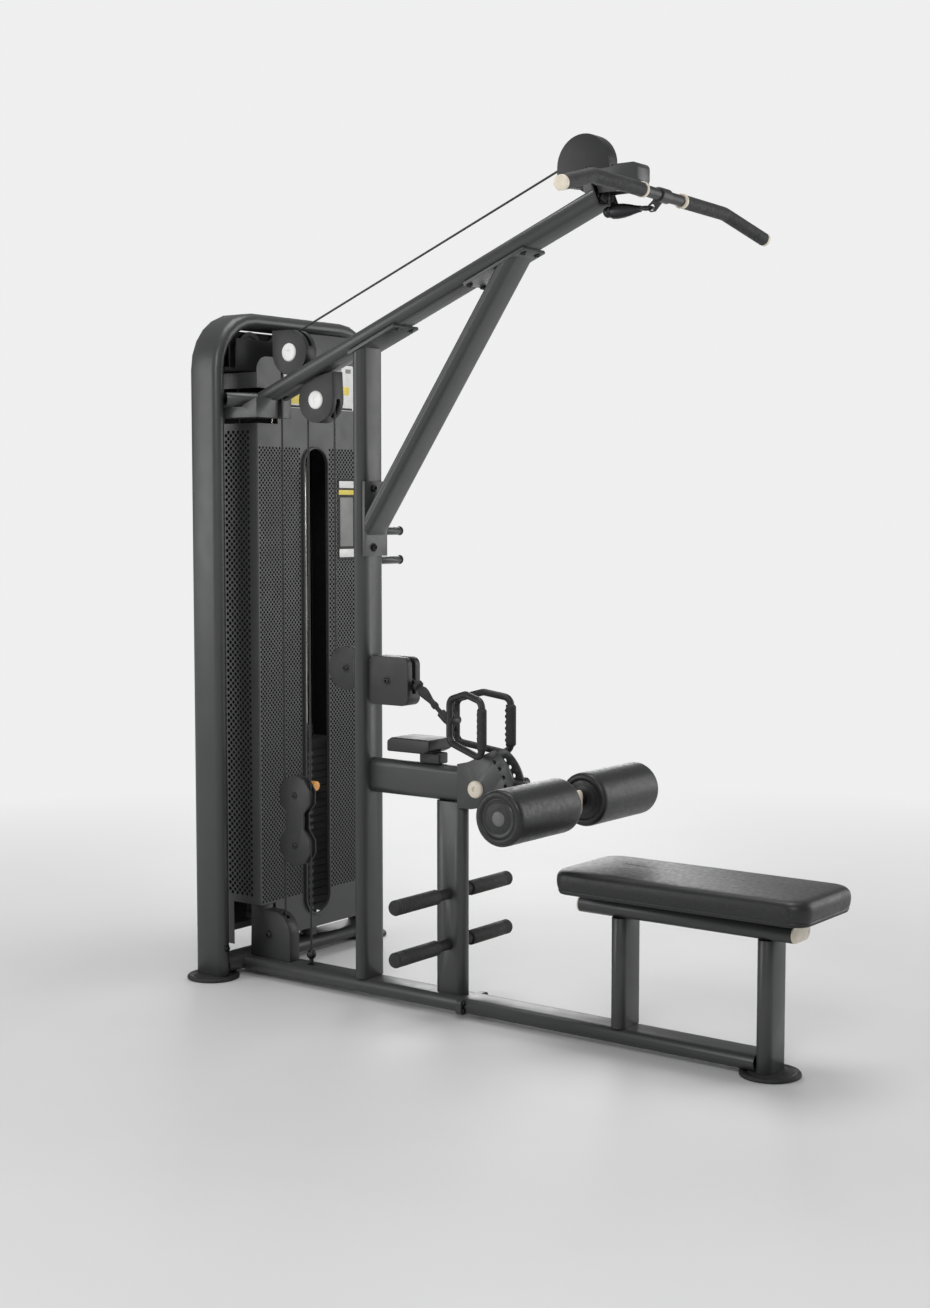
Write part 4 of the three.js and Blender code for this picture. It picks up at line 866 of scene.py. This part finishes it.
def ribbed(points, radius, ribs_mm, depth):
    """A radius for each point along a grip, with shallow rings moulded into it."""
    travelled, radii = 0.0, []
    for i, p in enumerate(points):
        if i:
            travelled += (p - points[i - 1]).length
        wave = math.cos(2 * math.pi * travelled / (ribs_mm * MM))
        radii.append(radius + depth * max(-0.4, wave))
    return radii


def add_lat_bar():
    """The bent bar, turned a little about the hook's vertical line, with its grips, trim and lug."""
    bar_y, bar_z = 314, 2073.5
    yaw = Matrix.Rotation(math.radians(3.3), 3, "Z")
    place = lambda x, y, z: yaw @ (Vector((x, y, z)) * MM) + at(0, bar_y, bar_z)
    across = yaw @ Vector((1, 0, 0))
    collar = [(0, -24), (15.5, -24), (17.5, -22), (17.5, 22), (15.5, 24), (0, 24)]
    ring = [(0, -5), (17.6, -5), (18.4, -4), (18.4, 4), (17.6, 5), (0, 5)]
    end = [(0, 1.6), (6, 1.6), (8, 2.4), (14, 2.2), (16.6, 0.6), (17.3, -1.6), (17.3, -8), (0, -8)]
    core = tube(straight(place(-110, 0, 0), place(110, 0, 0)), 13.5 * MM, 28)
    bare = merged(core, placed(turned(collar, 32), place(0, 0, 0), across))
    grips, trim = [], []
    for s in (-1, 1):
        corners = [place(s * 105, 0, 0), place(s * 335, 0, 0), place(s * 521.4, -28, -46)]
        route = rounded_route(corners, 90 * MM, 2.0)
        grips.append(tube(route, ribbed(route, 16.6 * MM, 8, 0.35 * MM), 28))
        trim.append(placed(turned(ring, 36), place(s * 101, 0, 0), across))
        out = (corners[2] - corners[1]).normalized()
        trim.append(placed(turned(end, 36), corners[2] + out * MM, out))
    piece("lat_bar_tube", bare, "black_paint", "lat_bar", replaces=["lat_bar"])
    piece("lat_bar_grips", merged(*grips), "rubber", "lat_bar", smooth=60)
    piece("lat_bar_trim", merged(*trim), "rubber", "lat_bar", CREAM)
    eye_y = 342
    lug = [(bar_y - 9, bar_z - 6), (eye_y - 9, HOOK_Z - 9.6), (eye_y + 3, HOOK_Z - 11)]
    lug += [(eye_y + 11, HOOK_Z - 5), (eye_y + 11.5, HOOK_Z + 5), (eye_y + 4, HOOK_Z + 11)]
    lug += [(bar_y + 8, bar_z + 5), (bar_y - 4, bar_z + 6)]
    lug_plate = sheet_with_holes([lug, circle(eye_y, HOOK_Z, 8, 28)], -2.5, 2.5, in_yz)
    piece("lat_bar_lug", lug_plate, "black_paint", "lat_bar", smooth=30)


def add_lat_cable_end():
    """Ball stop, crimped sleeve and the ring through the bar's lug."""
    stop = [(0, -13.6), (5, -13.2), (10, -10), (13, -5), (14, 0), (13, 5), (10, 9.6), (5, 13), (0, 13.6)]
    sleeve = [(0, 0), (13, 0), (16.5, 2), (18, 7), (18.2, 20), (17, 36), (14, 52), (10.5, 66)]
    sleeve += [(8.4, 76), (8, 82), (5, 84), (0, 84)]
    parts = [placed(turned(stop, 32), at(0, HOOK_Y, HOOK_Z))]
    parts.append(placed(turned(sleeve, 32), at(0, HOOK_Y - 8, HOOK_Z), (0, -1, 0)))
    loop = ring_points(at(0, 358, HOOK_Z), 15.5 * MM, Vector((1, 0, 0)), Vector((0, 1, 0)))
    parts.append(tube(loop, 3.9 * MM, 14))
    piece("lat_cable_end", merged(*parts), "black_paint", "lat_hook", BOLT, smooth=50, replaces=["lat_hook"])


# ---------------------------------------------------------------- row handle
def finger_grip(low, high, inward, wide, deep, fingers):
    """A moulded grip of oval section whose inner side has a scallop for each finger."""
    along = (high - low).normalized()
    across = along.cross(inward)
    stations, sides = fingers * 12, 32
    verts, faces = [], []
    for i in range(stations + 1):
        t = i / stations
        taper = min(1.0, 0.74 + 6 * min(t, 1 - t))
        scallop = 1.7 * MM * math.cos(2 * math.pi * fingers * t)
        for k in range(sides):
            a = 2 * math.pi * k / sides
            ribs = scallop * max(0.0, math.cos(a)) ** 0.5
            out = inward * math.cos(a) * (wide * taper + ribs) + across * math.sin(a) * deep * taper
            verts.append(low.lerp(high, t) + out)
        if i:
            faces += band(i - 1, i, sides)
    faces += end_faces(stations + 1, sides)
    return verts, faces


def add_row_handle():
    """Two bent loops side by side on a socket, each with a finger grip on its far side."""
    hub_y, hub_z, grip_y = 937, 778, 797
    frames, grips = [], []
    for s in (-1, 1):
        rear = lambda z: at(s * 15, hub_y, z)
        front = lambda z: at(s * 64, grip_y, z)
        crown = (rear(838) + front(846)) / 2 + Vector((0, 0, 0.012))
        corners = [rear(hub_z), rear(834), crown, front(840), front(693), rear(722), rear(hub_z - 0.1)]
        frames.append(tube(rounded_route(corners, 22 * MM, 4), 9.2 * MM, 20))
        inward = (rear(0) - front(0)).normalized()
        grips.append(finger_grip(front(714), front(823), inward, 14.2 * MM, 12 * MM, 7))
    tie = [(0, -23), (9.5, -23), (11.6, -21), (11.6, 21), (9.5, 23), (0, 23)]
    frames.append(placed(turned(tie, 28), at(0, hub_y, hub_z), (1, 0, 0)))
    socket = [(6.8, 0), (10, 0), (12, 1.6), (12, 26), (10, 38), (0, 38), (0, 12.6), (6.8, 12.2), (6.8, 0)]
    along = (row_line(214) - row_line(172)).normalized()
    frames.append(placed(turned(socket, 28), row_line(172), along))
    for s in (-1, 1):
        for z, foot_z in ((812, hub_z + 8), (740, hub_z - 8)):
            rib = straight(at(s * 15, hub_y, z), at(s * 3, hub_y - 4, foot_z), 0.01)
            frames.append(tube(rib, 5.5 * MM, 12))
    piece("row_handle_frame", merged(*frames), "black_paint", "row_handle", smooth=50,
          replaces=["row_handle"])
    piece("row_handle_grips", merged(*grips), "rubber", "row_handle", smooth=70)


def add_row_cable_end():
    """Collar, waisted sleeve and swivel between the row cable and its handle, as one turned shape."""
    section = [(0, 0), (13, 0), (15, 2), (15, 11), (13, 13), (8.5, 14.5), (8.5, 17), (11, 20), (13.4, 26)]
    section += [(13.6, 36), (11.5, 48), (9, 60), (8, 64), (8, 74), (9.6, 77), (9.6, 86), (7, 90), (6, 93)]
    section += [(6, 113.5), (0, 113.5)]
    down = (row_line(100) - row_line(64)).normalized()
    piece("row_cable_end", placed(turned(section, 32), row_line(64), down), "black_paint", "row_hook",
          MATERIALS["rubber"], smooth=50, replaces=["row_hook"])


# ---------------------------------------------------------------- foot pegs, rollers and seat
def add_foot_pegs():
    """Rubber sleeves of both pegs, each with two grooves near its end."""
    half = [(0, 250), (14, 250), (18, 248.5), (20, 245)]
    for groove in (236, 226):
        half += [(20, groove), (19.3, groove - 1.5), (19.3, groove - 4), (20, groove - 5.5)]
    half += [(20, 76), (18.6, 73), (14, 72.4)]
    profile = half + [(r, -x) for r, x in reversed(half)]
    for node, z in (("foot_peg_lower", 185), ("foot_peg_upper", 320)):
        piece(node + "_grip", placed(turned(profile, 48), at(0, 938, z), (1, 0, 0)), "rubber", "frame",
              smooth=30, replaces=[node])


def add_rollers():
    """Foam rollers with a recessed plastic end disc and a domed centre cap."""
    foam = [(13.6, 52.6), (47, 52.6), (49, 53.4), (50.5, 51.4), (56, 50.2), (62.5, 51.6), (66.6, 55)]
    foam += [(68.6, 60), (69, 68), (68.7, 120), (68.8, 184), (68.7, 250), (69, 300), (68.6, 308)]
    foam += [(66.6, 313), (62.5, 316.5), (56, 318), (50.5, 316.6), (49, 314.4), (47, 315.2)]
    foam += [(13.6, 315.2), (13.6, 52.6)]
    cap_profile = [(0, 317.4), (12, 317.2), (17.5, 315.8), (19.5, 313.4), (19.5, 309), (0, 309)]
    disc = [(0, 311.2), (20.4, 311.2), (30, 311.2), (33, 312.2), (39, 316.4), (44.5, 316.8)]
    disc += [(46.6, 315.2), (46.6, 309), (0, 309)]
    washer = [(13.4, 52.7), (13.4, 50.6), (34, 50.6), (36, 51.6), (36, 53), (13.4, 52.7)]
    spot = at(0, 565, 596)
    for s, side in ((-1, "near"), (1, "far")):
        node = "knee_roller_" + side
        axis = (s, 0, 0)
        roll = piece(node + "_foam", placed(turned(foam, 72), spot, axis), "vinyl", node, smooth=45,
                     replaces=[node])
        ends = merged(placed(turned(disc, 56), spot, axis), placed(turned(washer, 40), spot, axis))
        piece(node + "_disc", ends, "nylon", node, ROLLER_DISC)
        piece(node + "_cap", placed(turned(cap_profile, 40), spot, axis), "nylon", node, ROLLER_CAP)


def with_sides(outline, arc):
    """Adds points along the four straight sides of a rounded rectangle's outline."""
    n = arc + 1
    full = []
    for side in range(4):
        full += outline[side * n:(side + 1) * n]
        start, end = Vector(full[-1]), Vector(outline[((side + 1) * n) % len(outline)])
        steps = 14 if side in (0, 2) else 8
        full += [tuple(start.lerp(end, k / steps)) for k in range(1, steps)]
    return full


def add_seat_pad():
    """A firm moulded pad: boxed sides that belly a little, a rolled top edge and a crowned top."""
    low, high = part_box("seat_pad")
    mid = (low + high) / 2
    half_x, half_y = (high.x - low.x) / 2 / MM, (high.y - low.y) / 2 / MM
    z0 = low.z / MM
    corner, arc, shoulder = 48, 10, 52
    # Inset from the pad's outline and height over its underside, from the board up to the top's middle.
    rings = [(12, 4.4), (3.5, 4.4), (2.0, 5.2), (1.4, 8), (2.6, 9.6), (2.6, 10.4), (1.0, 12), (0.0, 18)]
    rings += [(-1.0, 30), (-0.8, 38), (0.4, 46), (3, 52.6), (7.5, 57.6), (14, 60.4), (24, 61.6)]
    rings += [(40, 62.2), (62, 62.8), (90, 63.2), (112, 63.4), (128, 63.5)]
    verts, faces = [], []
    for inset, z in rings:
        u_end, v_end = half_x - inset, half_y - inset
        r = max(3.0, corner - inset * 0.42) if inset > 0 else corner
        outline = with_sides(rounded_rect((-u_end, u_end), (-v_end, v_end), min(r, u_end - 1), arc), arc)
        count = len(outline)
        for u, v in outline:
            belly, crown = 0.0, 0.0
            if 12 <= z <= shoulder:
                along = v / half_y if abs(abs(u) - u_end) < 0.5 else u / half_x
                belly = 1.4 * (1 - along * along) * math.sin(math.pi * (z - 12) / 40)
            if z > shoulder:
                dome = (1 - (u / half_x) ** 2) * (1 - (v / half_y) ** 4)
                crown = 2.0 * dome * min(1.0, (z - shoulder) / 9) - 2.0
            out = Vector((u, v)).normalized() * belly
            verts.append(Vector((mid.x + (u + out.x) * MM, mid.y + (v + out.y) * MM, (z0 + z + crown) * MM)))
    for k in range(len(rings) - 1):
        faces += band(k, k + 1, count)
    faces += end_faces(len(rings), count)
    pad = piece("seat_pad_cushion", (verts, faces), "vinyl", "frame", smooth=60, replaces=["seat_pad"])
    smooth = pad.modifiers.new("smooth", "SUBSURF")
    smooth.levels = 1
    smooth.render_levels = 2
    board = rounded_rect((-half_x + 5, half_x - 5), (-half_y + 5, half_y - 5), corner - 5, 8)
    to_pad = lambda u, v, level: Vector((mid.x + u * MM, mid.y + v * MM, level * MM))
    piece("seat_pad_board", slab(board, z0 + 0.1, z0 + 5.2, to_pad, 1.2), "vinyl", "frame", BOARD)


# ---------------------------------------------------------------- all of it
def floor_material():
    """A pale matt floor that fades into the backdrop's own tone far from the machine."""
    g = Graph("floor")
    g.feed(g.shader.inputs["Base Color"], g.tones(g.noise(700, 3), shade(PALE, 0.80), shade(PALE, 0.83)))
    g.shader.inputs["Roughness"].default_value = 0.6
    glow = g.nodes.new("ShaderNodeEmission")
    glow.inputs["Color"].default_value = (*PALE, 1)
    length = g.nodes.new("ShaderNodeVectorMath")
    length.operation = "LENGTH"
    g.feed(length.inputs[0], g.place)
    mix = g.nodes.new("ShaderNodeMixShader")
    g.feed(mix.inputs[0], g.between(length.outputs["Value"], 0.0, 1.0, 1.3, 4.2))
    g.feed(mix.inputs[1], g.shader.outputs["BSDF"])
    g.feed(mix.inputs[2], glow.outputs["Emission"])
    g.feed(g.nodes["Material Output"].inputs["Surface"], mix.outputs["Shader"])
    return g.material


def add_floor():
    mesh = bpy.data.meshes.new("floor")
    mesh.from_pydata([(-60, -60, 0), (60, -60, 0), (60, 60, 0), (-60, 60, 0)], [], [(0, 1, 2, 3)])
    mesh.materials.append(floor_material())
    floor = bpy.data.objects.new("floor", mesh)
    bpy.context.scene.collection.objects.link(floor)
    floor.location.z = -0.0002


add_camera()
add_world()
add_lights()
add_floor()
for kept in KEPT:
    dress(kept)
add_feet()
add_bolts()
add_caps()
add_shroud()
add_placards()
add_plates()
add_pulleys()
add_cables()
add_lat_bar()
add_lat_cable_end()
add_row_handle()
add_row_cable_end()
add_foot_pegs()
add_rollers()
add_seat_pad()

bpy.context.view_layer.update()
